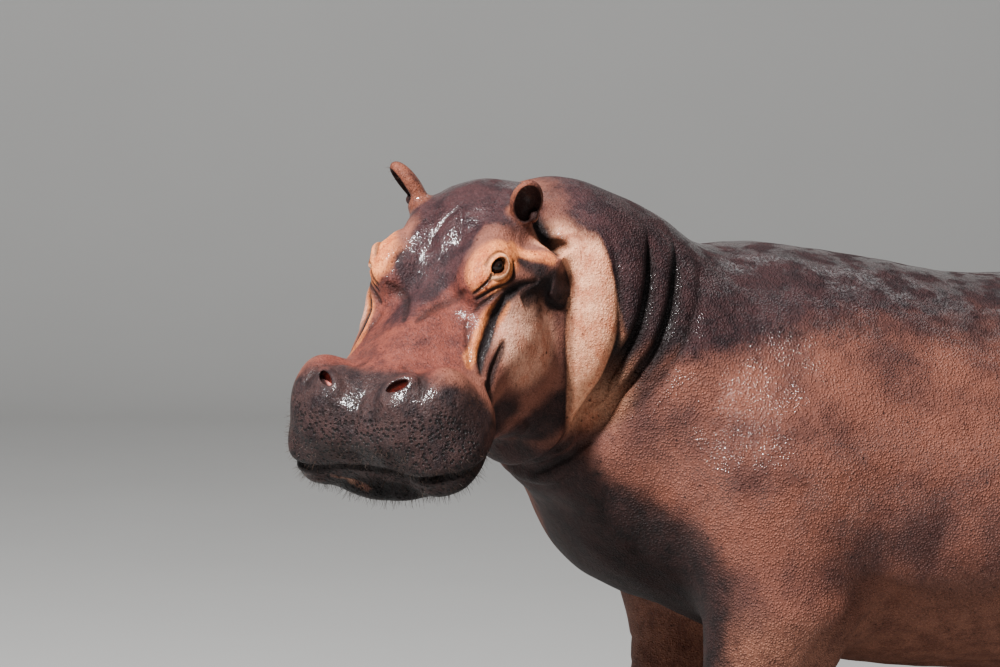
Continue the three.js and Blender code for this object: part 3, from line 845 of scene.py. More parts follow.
def meshOf(name, coordinates, faces):
    mesh = bpy.data.meshes.new(name)
    mesh.vertices.add(len(coordinates))
    mesh.vertices.foreach_set("co", np.ascontiguousarray(coordinates, np.float32).ravel())
    mesh.loops.add(faces.size)
    mesh.loops.foreach_set("vertex_index", np.ascontiguousarray(faces, np.int32).ravel())
    mesh.polygons.add(len(faces))
    mesh.polygons.foreach_set("loop_start", np.arange(0, faces.size, faces.shape[1], dtype=np.int32))
    mesh.update(calc_edges=True)
    mesh.validate()
    smoothed(mesh)
    return mesh


def objectOf(name, mesh):
    thing = bpy.data.objects.new(name, mesh)
    bpy.context.scene.collection.objects.link(thing)
    return thing


def refine(mesh, chosen):
    # splits each face in four where all its corners are chosen
    made = bmesh.new()
    made.from_mesh(mesh)
    edges = [e for e in made.edges if chosen[e.verts[0].index] and chosen[e.verts[1].index]]
    bmesh.ops.subdivide_edges(made, edges=edges, cuts=1, use_grid_fill=True)
    made.to_mesh(mesh)
    made.free()


def nearDetail(p, reach):
    # true close to the eyes, the nostrils, the ears' cups and the head's creases
    q = toHead(p)
    m = bothSides(q)
    close = np.zeros(p.shape[1], bool)
    for form in (eye, nostril):
        close |= ((m - np.array(form["at"], float)[:, None]) ** 2).sum(0) < (reach * form["fine"]) ** 2
    for side in sides:
        middle = np.array([ears[side]["root"], ears[side]["tip"]], float).mean(0)
        close |= ((q - middle[:, None]) ** 2).sum(0) < (reach * ears["fine"]) ** 2
    flat = np.zeros(p.shape[1])
    for crease in headCreases.values():
        if reach == 1 or crease["depth"] > skinGrid["steepCrease"] * crease["width"]:
            share = skinGrid["creaseShare"] * abs(crease["depth"])
            close |= np.abs(creaseDepth(m, flat, crease)) > share
    return close


def evaluated(thing):
    return bpy.data.meshes.new_from_object(thing.evaluated_get(bpy.context.evaluated_depsgraph_get()))


def changed(skin, modifier, **settings):
    # the mesh with one modifier applied
    step = skin.modifiers.new(modifier, modifier)
    for key, value in settings.items():
        setattr(step, key, value)
    made = evaluated(skin)
    skin.modifiers.clear()
    old, skin.data = skin.data, made
    bpy.data.meshes.remove(old)
    made.name = skin.name


def resettle(mesh, rounds):
    points, edges = fromRow(coordinatesOf(mesh)), edgesOf(mesh)
    for _ in range(rounds):
        points = relaxed(points, edges, 1, share=0.45)
        points = settle(points, lambda p: inPieces(skinField, p), rounds=1, stride=6)
    mesh.vertices.foreach_set("co", toRow(points).astype(np.float32).ravel())
    mesh.update()


def makeSkin():
    layCreases()
    points, quads = wrapSkin()
    report(f"skin of {len(quads)} quads")
    points = settle(points, lambda p: inPieces(bodyField, p), rounds=2)
    pairs = np.concatenate([quads[:, [i, (i + 1) % 4]] for i in range(4)])
    points = relaxed(points, pairs, skinGrid["relax"])
    points = settle(points, lambda p: inPieces(skinField, p), rounds=1)
    skin = objectOf("hide", meshOf("hide", toRow(points), quads))
    for reach in (1, 0.62):
        refine(skin.data, nearDetail(fromRow(coordinatesOf(skin.data)), reach))
    resettle(skin.data, 4)
    report(f"skin settled on {len(skin.data.vertices)} points")
    triangles = sum(len(face.vertices) - 2 for face in skin.data.polygons)
    changed(skin, "DECIMATE", ratio=min(skinGrid["triangles"] / triangles, 1))
    smoothed(skin.data)
    report(f"skin thinned to {len(skin.data.polygons)} faces")
    return skin


# Where each tone of the hide lies: in the body's axes, in the head's, alike on both sides, or in
# the head's on one side. A weight is 1 inside a form and fades to 0 over its soft edge.
tones = {
    "cream": {
        "body": [
            {"from": (-530, -350, 1480), "to": (-490, -340, 1190), "radii": (112, 116), "soft": 130},
        ],
    },
    "tan": {
        "head": [{"at": (60, 190, -190), "size": (110, 70, 110), "soft": 100}],
    },
    "blush": {
        "head": [
            {"at": (4, 146, -8), "size": (80, 56, 50), "soft": 30},
            {"from": (-30, 170, -20), "to": (-86, 170, -20), "radii": (28, 20), "soft": 40},
            {"from": (60, 170, -76), "to": (220, 160, -96), "radii": (28, 16), "soft": 26},
            {"from": (-84, 176, -40), "to": (-116, 232, -76), "radii": (22, 18), "soft": 30},
            {"from": (110, 158, -72), "to": (240, 164, -104), "radii": (12, 8), "soft": 30},
        ],
    },
    "rust": {
        "body": [{"from": (-512, -330, 1490), "to": (-480, -350, 1370), "radii": (4, 4), "soft": 240}],
        "head": [{"from": (110, 0, -60), "to": (400, 0, -60), "radii": (150, 190), "soft": 110}],
    },
    # painted shade low on the cheek and the jaw, laid together with the painted shade below
    "cheek": {
        "head": [
            {"at": (110, 190, -430), "size": (190, 140, 66), "soft": 110},
            {"at": (240, 190, -300), "size": (90, 100, 70), "soft": 110},
        ],
    },
    # painted shade under the cheekbone's ridge, on the lobe's lower half, under the jaw on the chest and
    # beside the far eye; the first form is a dark patch of skin behind the eye
    "shadeAndDarkSkin": {
        "head": [
            {"from": (-62, 186, -46), "to": (-74, 224, -84), "radii": (18, 24), "soft": 60},
            {"from": (-90, 236, -120), "to": (-10, 216, -100), "radii": (24, 14), "soft": 30},
            {"at": (-92, 240, -166), "size": (60, 40, 42), "soft": 30},
            {"from": (-60, 238, -176), "to": (40, 212, -140), "radii": (16, 12), "soft": 100},
        ],
        "body": [{"from": (-600, -200, 960), "to": (-300, -160, 620), "radii": (150, 340), "soft": 190}],
        "face": [{"at": (20, -84, 12), "size": (30, 16, 34), "soft": 26}],
    },
    "dusk": {
        "head": [
            {"at": (-70, 0, 10), "size": (180, 92, 110), "soft": 50},
            {"at": (-220, 0, -10), "size": (160, 180, 104), "soft": 80},
        ],
        "face": [{"from": (60, -20, 10), "to": (150, -50, -10), "radii": (80, 56), "soft": 100}],
    },
    "muzzle": {
        "head": [
            {"at": (510, 0, -160), "size": (150, 320, 190), "soft": 90},
            {"at": (440, 210, -150), "size": (130, 130, 130), "soft": 90},
            {"at": (470, 60, -20), "size": (116, 170, 60), "soft": 90},
        ],
        "face": [{"at": (440, 180, -60), "size": (90, 90, 60), "soft": 60}],
    },
    "ear": {
        "head": [{"at": (-190, 176, 40), "size": (58, 70, 80), "soft": 34}],
    },
    # painted shade under the upper lip's overhang, over the dark skin of the lower lip and chin
    "chin": {
        "head": [{"at": (450, 0, -300), "size": (170, 320, 92), "soft": 50}],
    },
    "lip": {
        "face": [
            {"from": (534, -24, -250), "to": (530, -72, -240), "radii": (8, 11), "soft": 16},
            {"from": (530, -72, -240), "to": (546, -112, -206), "radii": (9, 5), "soft": 12},
        ],
    },
}
strip = {"head": tones["blush"]["head"][-1:]}  # the wet strip from the eye to the mouth
whiskered = {"head": tones["muzzle"]["head"][:2]}  # the front and the sides of the muzzle

# the span over which each mark on the hide goes from 0 to 1
marks = {
    "aheadOfEdge": (-8, 8),  # across the rear edge of the cheek
    "onNeck": (1060, 1120),
    "backStarts": (-640, -420),
    "backDrops": (-460, -390),
    "backSoftens": (-260, 200),
    "flank": (-420, -120),
    "wetFlank": (700, 1000),
    "grit": (-520, -330),
    "belly": (-860, -340),
    "pitsBelow": (0, 56),
    "pitsAhead": (380, 450),
    "ringDepth": (7, 22),
    "ringHeight": (980, 1300),
    "bowl": (-1.2, -0.8),
    "bowlMouth": (1, 8),
    "bowlFloor": (-50, -30),
    "eyeFront": (4, 14),
    "eyeSide": (-52, -40),
    "lid": (-0.34, -0.12),
    "lidEdge": (-1.24, -1.06),
    "cup": (-6, -1),
    "whiskersAhead": (400, 500),
    "whiskersBelow": (30, 120),
    "beardBelow": (188, 226),
    "beardAhead": (330, 470),
    "beardAbove": (-340, -300),
    "tailEnd": (1880, 1900),
    "tailLow": (-800, -740),
    "earEdge": (-0.2, -0.05),
    "earHigh": (-30, 10),
    "earFront": (-4, 4),
    "earNear": (-90, -80),
}
backTone = {"top": 1510, "drop": 310, "slope": 90, "soft": 150, "softer": 170}
bellySlope = 160
leastMarks = {"grit": 0.22, "lid": 0.15}  # their weights where they are weakest


def spanned(mark, x):
    # 0 before a mark's span, 1 past it
    return smooth(x, *marks[mark])


def toneWeight(places, tone):
    weight = 0
    for place, forms in tone.items():
        for form in forms:
            share = smooth(-mass(places[place], form) / form["soft"], -0.5, 0.5)
            weight = np.maximum(weight, share)
    return weight


def store(mesh, weights):
    for name, weight in weights.items():
        attribute = mesh.attributes.new(name, "FLOAT", "POINT")
        attribute.data.foreach_set("value", np.asarray(weight, np.float32))


def markSkin(skin):
    # one attribute for each tone, and for the creases' painted shade, pits, wetness, lids, nostrils and
    # ears
    p = fromRow(coordinatesOf(skin.data))
    q = toHead(p)
    m = bothSides(q)
    places = {"body": p, "head": m, "face": q}
    up = valuesOf(skin.data.vertices, "normal", 3)[:, 2]
    weights = {name: toneWeight(places, tone) for name, tone in tones.items()}
    # the cheek's rear edge parts the cheek's painted shade from the pale neck
    rear = headCreases["cheekRear"]["laid"]
    ahead = spanned("aheadOfEdge", m[0] - np.interp(-m[2], -rear[:, 2], rear[:, 0]))
    weights["cream"] = weights["cream"] * (1 - ahead)
    # the lower cheek's painted shade joins the other, which stays ahead of the cheek's rear edge or low
    # down
    shadeAndDarkSkin = np.maximum(weights["shadeAndDarkSkin"], weights.pop("cheek"))
    weights["shadeAndDarkSkin"] = shadeAndDarkSkin * np.maximum(ahead, 1 - spanned("onNeck", p[2]))
    # the back darkens from further down towards the rump
    drop = backTone["drop"] * spanned("backDrops", p[0])
    soft = backTone["soft"] + backTone["softer"] * spanned("backSoftens", p[0])
    start = spanned("backStarts", p[0])
    back = smooth((p[2] + backTone["slope"] * up - backTone["top"] + drop) / soft, 0, 1) * start
    weights["dusk"] = np.maximum(weights["dusk"], back)
    flank = spanned("flank", p[0])
    least = leastMarks["grit"]
    weights["grit"] = least + (1 - least) * spanned("grit", p[0])
    weights["belly"] = flank * spanned("belly", -p[2] - bellySlope * up)
    weights["pits"] = toneWeight(places, whiskered)
    weights["pits"] *= spanned("pitsBelow", -m[2]) * spanned("pitsAhead", m[0])
    # painted shade in the creases and the neck's rings, and a dark line between the lids
    crease = paintedCreaseShade(p)
    near = inReach(p, "neck")
    rings = spanned("ringDepth", foldDepth(p[:, near], 0.7))
    crease[near] += rings * spanned("ringHeight", p[2][near])
    n = within(axesOf(eye["along"], eye["faces"]), eye["at"], m)
    ring = ringOf(n, eye["opening"][1:])
    front = spanned("eyeFront", n[0]) * spanned("eyeSide", -n[0])
    lower = leastMarks["lid"] + (1 - leastMarks["lid"]) * belowEye(n)
    weights["lid"] = spanned("lid", -np.abs(ring - eye["rim"]["ring"])) * front * lower
    weights["crease"] = np.maximum(np.clip(crease, 0, 1), 0.8 * spanned("lidEdge", -ring) * front)
    n = within(axesOf(nostril["along"], nostril["faces"]), nostril["at"], m)
    deep = spanned("bowlMouth", -n[0]) * spanned("bowlFloor", n[0])
    weights["inner"] = spanned("bowl", -ringOf(n, nostril["bowl"])) * deep
    weights["cup"] = np.zeros(p.shape[1])
    for side in sides:
        inside = -ball(inEar(q, side, 1 / 30), (ears["cupForward"], 0, 0), ears["cup"])
        weights["cup"] = np.maximum(weights["cup"], spanned("cup", inside))
    weights["wet"] = np.maximum.reduce([
        weights["dusk"] * (1 - 0.7 * start),
        0.7 * (1 - 0.75 * weights["pits"]) * weights["muzzle"],
        0.7 * toneWeight(places, strip),
        0.9 * flank * spanned("wetFlank", p[2]),
        0.3 * weights["rust"],
    ])
    store(skin.data, weights)


# materials
def paint(*shades):
    # from 0 to 255 each, to the renderer's own scale
    shares = [shade / 255 for shade in shades]
    return (*(c / 12.92 if c <= 0.04045 else ((c + 0.055) / 1.055) ** 2.4 for c in shares), 1)


def wire(tree, node, inputs):
    # sets each input to a value, or joins it to a socket
    for key, value in inputs.items():
        if isinstance(value, bpy.types.NodeSocket):
            tree.links.new(value, node.inputs[key])
        else:
            node.inputs[key].default_value = value


def add(tree, kind, inputs, **settings):
    node = tree.nodes.new(kind)
    for key, value in settings.items():
        setattr(node, key, value)
    wire(tree, node, inputs)
    return node


def maths(tree, operation, *values):
    return add(tree, "ShaderNodeMath", dict(enumerate(values)), operation=operation).outputs[0]


def times(tree, *values):
    return reduce(lambda a, b: maths(tree, "MULTIPLY", a, b), values)


def plus(tree, *values):
    return reduce(lambda a, b: maths(tree, "ADD", a, b), values)


def ramp(tree, value, low, high):
    # 0 at low, 1 at high, with soft ends
    settings = {"Value": value, "From Min": low, "From Max": high}
    return add(tree, "ShaderNodeMapRange", settings, interpolation_type="SMOOTHSTEP").outputs[0]


def mixed(tree, factor, a, b, blend="MIX"):
    node = add(tree, "ShaderNodeMix", {0: factor, 6: a, 7: b}, data_type="RGBA", blend_type=blend)
    return node.outputs[2]


def noise(tree, where, scale, detail=4, rough=0.55):
    inputs = {"Vector": where, "Scale": scale, "Detail": detail, "Roughness": rough}
    return add(tree, "ShaderNodeTexNoise", inputs).outputs["Fac"]


def cells(tree, where, scale, feature="F1"):
    inputs = {"Vector": where, "Scale": scale}
    return add(tree, "ShaderNodeTexVoronoi", inputs, feature=feature).outputs["Distance"]


def stretched(tree, where, **settings):
    return add(tree, "ShaderNodeMapping", {"Vector": where, **settings}).outputs[0]


def bump(tree, height, distance, strength):
    inputs = {"Height": height, "Distance": distance, "Strength": strength}
    return add(tree, "ShaderNodeBump", inputs).outputs[0]


def groupOf(name, kind, inputs, outputs):
    # a node group, its given values and its last node
    tree = bpy.data.node_groups.new(name, f"{kind}NodeTree")
    for socket, (form, value) in inputs.items():
        made = tree.interface.new_socket(socket, in_out="INPUT", socket_type=f"NodeSocket{form}")
        if value is not None:
            made.default_value = value
    for socket, form in outputs.items():
        tree.interface.new_socket(socket, in_out="OUTPUT", socket_type=f"NodeSocket{form}")
    return tree, tree.nodes.new("NodeGroupInput").outputs, tree.nodes.new("NodeGroupOutput")


def makeGrain():
    # fine crackle, streaks that run up and down, pores and slow mottling
    inputs = {"Vector": ("Vector", None), "Size": ("Float", 0.004)}
    results = dict.fromkeys(("Height", "Mottle", "Cracks", "Streaks", "Pores"), "Float")
    tree, given, last = groupOf("hideGrain", "Shader", inputs, results)
    where = given["Vector"]
    fine = maths(tree, "DIVIDE", 1, given["Size"])

    def finer(share):
        return times(tree, fine, share)

    warp = add(tree, "ShaderNodeTexNoise", {"Vector": where, "Scale": finer(0.3)}).outputs["Color"]
    bent = add(tree, "ShaderNodeMix", {0: 0.012, 4: where, 5: warp}, data_type="VECTOR").outputs[1]
    cracks = ramp(tree, cells(tree, bent, fine, "DISTANCE_TO_EDGE"), 0.0, 0.12)
    grown = stretched(tree, bent, Rotation=(0.0, 0.35, -0.35), Scale=(1.0, 1.0, 0.16))
    streaks = noise(tree, grown, finer(0.9), 3)
    small = noise(tree, where, finer(1.3), 2)
    parts = (times(tree, cracks, 0.3), times(tree, streaks, 0.9), times(tree, small, 0.5))
    wire(tree, last, {
        "Height": plus(tree, *parts),
        "Mottle": noise(tree, where, finer(0.06), 6, 0.65),
        "Cracks": maths(tree, "SUBTRACT", 1, cracks),
        "Streaks": streaks,
        "Pores": ramp(tree, cells(tree, bent, finer(0.42)), 0.27, 0.12),
    })
    return tree


def makeEdge():
    # a tone's weight with a ragged edge
    inputs = {"Weight": ("Float", 0.0), "Noise": ("Float", 0.5), "Ragged": ("Float", 0.6)}
    tree, given, last = groupOf("raggedEdge", "Shader", inputs, {"Mask": "Float"})
    shaken = times(tree, maths(tree, "SUBTRACT", given["Noise"], 0.5), given["Ragged"])
    wire(tree, last, {"Mask": ramp(tree, plus(tree, given["Weight"], shaken), 0.12, 0.88)})
    return tree


grain = makeGrain()
edge = makeEdge()


def grouped(tree, group, **inputs):
    return add(tree, "ShaderNodeGroup", inputs, node_tree=group).outputs


def materialOf(name, **constants):
    material = bpy.data.materials.new(name)
    material.use_nodes = True
    tree = material.node_tree
    shader = tree.nodes["Principled BSDF"]
    wire(tree, shader, constants)
    where = add(tree, "ShaderNodeTexCoord", {}).outputs["Object"]
    return material, tree, shader, where


skinTones = {
    # light, dark and how ragged the edge is, in the order that they are laid
    "belly": (paint(150, 100, 80), paint(112, 70, 56), 0.9),
    "cream": (paint(236, 168, 130), paint(200, 122, 88), 0.5),
    "tan": (paint(224, 164, 136), paint(182, 114, 88), 0.6),
    "rust": (paint(114, 58, 47), paint(76, 40, 36), 0.6),
    "blush": (paint(232, 140, 80), paint(172, 88, 52), 0.35),
    # painted shade, with the dark patch of skin behind the eye
    "shadeAndDarkSkin": (paint(54, 33, 31), paint(28, 18, 18), 0.5),
    "dusk": (paint(62, 38, 39), paint(36, 22, 25), 0.6),
    "muzzle": (paint(58, 40, 38), paint(30, 21, 23), 0.35),
    "ear": (paint(122, 70, 52), paint(74, 42, 36), 0.5),
    # painted shade under the upper lip, over dark skin
    "chin": (paint(10, 8, 8), paint(30, 21, 23), 0.5),
    "lip": (paint(150, 108, 84), paint(76, 40, 36), 0.9),
}
umber, umberDark, speck = paint(134, 82, 66), paint(80, 50, 45), paint(92, 62, 58)
lastTones = {
    # colour and strength of what is laid last
    "pits": (paint(10, 8, 8), 0.9),
    # painted shade in the creases and the neck's rings, and the dark line between the lids
    "crease": (paint(20, 12, 12), 1),
    "lid": (paint(240, 190, 150), 0.6),
    "inner": (paint(226, 134, 120), 1),
    "cup": (paint(38, 20, 18), 1),
}


def skinMaterial():
    settings = {"IOR": 1.45, "Specular IOR Level": 0.18, "Coat Roughness": 0.1, "Coat IOR": 1.35}
    material, tree, shader, where = materialOf("hippoHide", **settings)

    def mark(name):
        return add(tree, "ShaderNodeAttribute", {}, attribute_name=name).outputs["Fac"]

    middle = noise(tree, where, 22, 5, 0.6)
    quick = noise(tree, where, 130, 4, 0.6)
    hide = grouped(tree, grain, Vector=where, Size=0.004)
    patch = plus(tree, times(tree, middle, 0.6), times(tree, hide["Streaks"], 0.4))
    patch = ramp(tree, patch, 0.38, 0.64)
    color = mixed(tree, ramp(tree, noise(tree, where, 5, 5), 0.35, 0.7), umber, umberDark)
    for name, (light, dark, ragged) in skinTones.items():
        mask = grouped(tree, edge, Weight=mark(name), Noise=middle, Ragged=ragged)["Mask"]
        color = mixed(tree, mask, color, mixed(tree, patch, light, dark))
    # dark pores, cracks, grit and freckles, closest together in patches
    kept = ramp(tree, noise(tree, where, 14, 3), 0.36, 0.6)
    pebbles = times(tree, ramp(tree, cells(tree, where, 165), 0.1, 0.62), mark("grit"))
    freckles = ramp(tree, cells(tree, where, 34), 0.17, 0.07)
    for amount in (
        times(tree, hide["Pores"], kept, 0.7),
        times(tree, hide["Cracks"], 0.2),
        times(tree, ramp(tree, quick, 0.5, 0.72), 0.4),
        times(tree, pebbles, 0.42),
        times(tree, freckles, ramp(tree, middle, 0.42, 0.6), 0.8),
    ):
        color = mixed(tree, amount, color, speck, "MULTIPLY")
    pits = times(tree, ramp(tree, cells(tree, where, 96), 0.46, 0.24), mark("pits"))
    for name, (tone, strength) in lastTones.items():
        weight = pits if name == "pits" else mark(name)
        color = mixed(tree, times(tree, weight, strength), color, tone)
    wet = mark("wet")
    damp = times(tree, wet, ramp(tree, noise(tree, where, 13, 4, 0.6), 0.42, 0.56))
    lumps = plus(tree, 2.2, times(tree, wet, 2.4))
    lumps = times(tree, noise(tree, where, 36, 3, 0.5), lumps)
    heights = [hide["Height"], lumps, times(tree, quick, 0.5), times(tree, pebbles, -2.2)]
    height = plus(tree, *heights, times(tree, pits, -2.6))
    film = (times(tree, lumps, 1.1), times(tree, hide["Height"], 0.25), times(tree, pebbles, -3))
    wire(tree, shader, {
        "Base Color": color,
        "Roughness": plus(tree, 0.46, times(tree, quick, 0.25), times(tree, damp, -0.26)),
        "Coat Weight": damp,
        "Normal": bump(tree, height, 0.0017, 0.9),
        "Coat Normal": bump(tree, plus(tree, *film), 0.0017, 0.4),
    })
    return material


def finish(piece, material, slot, *nodes):
    piece.data.materials.clear()
    piece.data.materials.append(material)
    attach(piece, "root")
    if nodes:
        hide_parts(*nodes)


skin = makeSkin()
markSkin(skin)
flesh = [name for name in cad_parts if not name.startswith(("eye", "nail"))]
finish(skin, skinMaterial(), "hide", *flesh)
report("skin done")


# eyes
def ballMesh(name, shape, around=48, down=32):
    # a closed ball from a function of a unit direction
    rows = [(0, 0, 1)]
    for i in range(1, down):
        polar = math.pi * i / down
        for j in range(around):
            turn = 2 * math.pi * j / around
            wide = math.sin(polar)
            rows.append((wide * math.cos(turn), wide * math.sin(turn), math.cos(polar)))
    rows.append((0, 0, -1))
    end = len(rows) - 1
    onward = [(j + 1) % around for j in range(around)]
    faces = [(0, 1 + j, 1 + k) for j, k in enumerate(onward)]
    for a in range(1, end - around, around):
        b = a + around
        faces += [(a + j, b + j, b + k, a + k) for j, k in enumerate(onward)]
    faces += [(end, end - around + k, end - around + j) for j, k in enumerate(onward)]
    mesh = bpy.data.meshes.new(name)
    mesh.from_pydata(shape(np.array(rows).T).tolist(), [], faces)
    smoothed(mesh)
    return mesh, np.array(rows)


def mirrored(v, side):
    return np.array([v[0], -sides[side] * v[1], v[2]], float)


def eyeMaterial():
    settings = {"Roughness": 0.08, "IOR": 1.38, "Specular IOR Level": 0.12}
    settings |= {"Coat Weight": 0.35, "Coat Roughness": 0.03}
    material, tree, shader, _ = materialOf("wetEye", **settings)
    uv = add(tree, "ShaderNodeUVMap", {}, uv_map="Gaze").outputs[0]
    apart = add(tree, "ShaderNodeSeparateXYZ", {0: uv}).outputs
    x, y = (maths(tree, "SUBTRACT", apart[i], 0.5) for i in (0, 1))

    def length(x, y):
        return maths(tree, "SQRT", plus(tree, times(tree, x, x), times(tree, y, y)))

    iris = mixed(tree, noise(tree, uv, 60, 4), paint(30, 17, 12), paint(14, 9, 8))
    white = mixed(tree, noise(tree, uv, 14, 3), paint(46, 26, 22), paint(26, 15, 14))
    color = mixed(tree, ramp(tree, length(x, y), 0.3, 0.36), iris, white)
    slit = length(x, times(tree, y, 1.6))
    color = mixed(tree, ramp(tree, slit, 0.17, 0.12), color, paint(6, 5, 5))
    wire(tree, shader, {"Base Color": color})
    return material


def makeEyes():
    material = eyeMaterial()
    for side in sides:
        at, faces, along = (mirrored(eye[key], side) for key in ("at", "faces", "along"))
        axes = axesOf(along, faces)

        def shape(unit):
            # the pole is turned to face out, with the cornea standing a little proud
            out, across, run = unit[2], unit[0], unit[1]
            bulge = 1 + 0.06 * smooth(out, 0.8, 1.0)
            local = eye["radius"] * bulge * np.array([out, across, run])
            return toRow(fromHead(axes.T @ local + at[:, None]))

        mesh, units = ballMesh(f"eyeball_{side}", shape)
        eyeball = objectOf(mesh.name, mesh)
        layer = mesh.uv_layers.new(name="Gaze")
        corner = np.array([loop.vertex_index for loop in mesh.loops])
        layer.data.foreach_set("uv", (0.5 + 0.5 * units[corner][:, [1, 0]]).astype(np.float32).ravel())
        finish(eyeball, material, "eye", f"eye_{side}")


makeEyes()
report("eyes done")

# nails
nail = {"size": (20, 26, 32), "out": 46, "height": 41, "lean": 12, "square": 0.82}


def nailMaterial():
    material, tree, shader, where = materialOf("horn", IOR=1.54)
    hide = grouped(tree, grain, Vector=where, Size=0.01)
    lines = noise(tree, stretched(tree, where, Scale=(1, 1, 0.15)), 240, 3)
    color = mixed(tree, lines, paint(122, 104, 88), paint(62, 50, 44))
    color = mixed(tree, ramp(tree, hide["Mottle"], 0.4, 0.7), color, paint(84, 64, 54))
    wire(tree, shader, {
        "Base Color": color,
        "Roughness": plus(tree, 0.4, times(tree, lines, 0.25)),
        "Normal": bump(tree, lines, 0.001, 0.6),
    })
    return material


def makeNails():
    material = nailMaterial()
    for pair in ("front", "hind"):
        for side in sides:
            coordinates, faces = [], []
            for spread in toes["spread"]:
                x, y = toeAt(pair, side, spread, [r + nail["out"] for r in toes["reach"]])
                angle, lean = math.radians(spread), math.sin(math.radians(nail["lean"]))
                out = (-math.cos(angle), math.sin(angle), lean)
                up = (lean * math.cos(angle), -lean * math.sin(angle), 1)
                axes = axesOf(up, out)

                def shape(unit):
                    square = np.sign(unit) * np.abs(unit) ** nail["square"]
                    local = np.array(nail["size"], float)[:, None] * square
                    at = np.array([[x], [y], [nail["height"]]])
                    return toRow(axes.T @ local + at)

                mesh, _ = ballMesh("nail", shape, 28, 20)
                count = len(coordinates)
                coordinates += [tuple(v.co) for v in mesh.vertices]
                faces += [tuple(count + n for n in face.vertices) for face in mesh.polygons]
                bpy.data.meshes.remove(mesh)
            joined = bpy.data.meshes.new(f"toenails_{pair}_{side}")
            joined.from_pydata(coordinates, [], faces)
            smoothed(joined)
            nodes = [f"nail_{pair}_{side}_{n + 1}" for n in range(len(toes["spread"]))]
            finish(objectOf(joined.name, joined), material, "nail", *nodes)


makeNails()
report("nails done")

# bristles
bristles = {
    # weight on the skin, number to the square metre, length, thickness at the root, how it hangs
    "muzzle": {"where": "whiskers", "density": 5200, "length": 17, "thick": 0.9,
               "droop": 0.35, "bend": 0.16, "seed": 3},
    "chin": {"where": "beard", "density": 5200, "length": 27, "thick": 1.0,
             "droop": 0.5, "bend": 0.22, "seed": 5},
    "ears": {"where": "earHair", "density": 16000, "length": 13, "thick": 0.6,
             "droop": -0.2, "bend": 0.2, "seed": 7},
    "tail": {"where": "tailHair", "density": 26000, "length": 46, "thick": 1.2,
             "droop": 1.1, "bend": 0.1, "seed": 9},
}
bristleShape = {
    "sides": 4,
    "rows": 4,
    "tip": 0.25,
    "unevenLength": 0.55,
    "unevenWay": 0.45,
    "patch": 0.003,  # its size on the unwrap
}
unwrap = {"head": (-400, 1000), "headLine": 150, "tail": (600, 1300), "tailFrom": 1700}


def makeBristleTree():
    inputs = {
        "Geometry": ("Geometry", None),
        "Where": ("String", "whiskers"),
        "Density": ("Float", 5000.0),
        "Length": ("Float", 0.02),
        "Thickness": ("Float", 0.001),
        "Droop": ("Float", 0.3),
        "Bend": ("Float", 0.2),
        "Seed": ("Int", 1),
        "Material": ("Material", None),
    }
    tree, given, last = groupOf("bristles", "Geometry", inputs, {"Geometry": "Geometry"})
    form = bristleShape

    def step(kind, inputs, **settings):
        return add(tree, kind, inputs, **settings).outputs

    def named(name, kind):
        return step("GeometryNodeInputNamedAttribute", {"Name": name}, data_type=kind)[0]

    def summed(a, b):
        return step("ShaderNodeVectorMath", {0: a, 1: b}, operation="ADD")[0]

    def stored(geometry, name, value, kind, domain):
        inputs = {"Geometry": geometry, "Name": name, "Value": value}
        return step("GeometryNodeStoreNamedAttribute", inputs, data_type=kind, domain=domain)[0]

    spread = step("GeometryNodeDistributePointsOnFaces", {
        "Mesh": given["Geometry"],
        "Density": times(tree, named(given["Where"], "FLOAT"), given["Density"]),
        "Seed": given["Seed"],
    }, distribute_method="RANDOM")
    # a bent cone of unit length that stands on its wide end
    cone = step("GeometryNodeMeshCone", {
        "Vertices": form["sides"],
        "Side Segments": form["rows"],
        "Radius Top": form["tip"] / 2,
        "Radius Bottom": 0.5,
        "Depth": 1.0,
    })["Mesh"]
    x, y, z = step("ShaderNodeSeparateXYZ", {0: step("GeometryNodeInputPosition", {})[0]})
    flat = {0: times(tree, x, form["patch"]), 1: times(tree, z, form["patch"])}
    patch = step("ShaderNodeCombineXYZ", flat)[0]
    marked = stored(cone, "patch", patch, "FLOAT_VECTOR", "POINT")
    slim = maths(tree, "DIVIDE", given["Thickness"], given["Length"])
    bent = step("ShaderNodeCombineXYZ", {
        0: plus(tree, times(tree, x, slim), times(tree, z, z, given["Bend"])),
        1: times(tree, y, slim),
        2: z,
    })[0]
    bristle = step("GeometryNodeSetPosition", {"Geometry": marked, "Position": bent})[0]
    # each leans its own way from the skin, and hangs a little
    wild = form["unevenWay"]
    shake = {0: (-wild, -wild, -wild), 1: (wild, wild, wild), "Seed": given["Seed"]}
    shake = step("FunctionNodeRandomValue", shake, data_type="FLOAT_VECTOR")[0]
    drop = step("ShaderNodeCombineXYZ", {2: times(tree, given["Droop"], -1.0)})[0]
    way = summed(summed(spread["Normal"], shake), drop)
    sizes = {2: 1 - form["unevenLength"], 3: 1.0, "Seed": given["Seed"]}
    size = times(tree, step("FunctionNodeRandomValue", sizes, data_type="FLOAT")[1], given["Length"])
    planted = step("GeometryNodeInstanceOnPoints", {
        "Points": spread["Points"],
        "Instance": bristle,
        "Rotation": step("FunctionNodeAlignRotationToVector", {"Vector": way}, axis="Z")[0],
        "Scale": size,
    })[0]
    real = step("GeometryNodeRealizeInstances", {0: planted})[0]
    place = summed(named("rootPlace", "FLOAT_VECTOR"), named("patch", "FLOAT_VECTOR"))
    mapped = stored(real, "OFBake", place, "FLOAT2", "CORNER")
    painted = step("GeometryNodeSetMaterial", {"Geometry": mapped, "Material": given["Material"]})[0]
    wire(tree, last, {"Geometry": painted})
    return tree


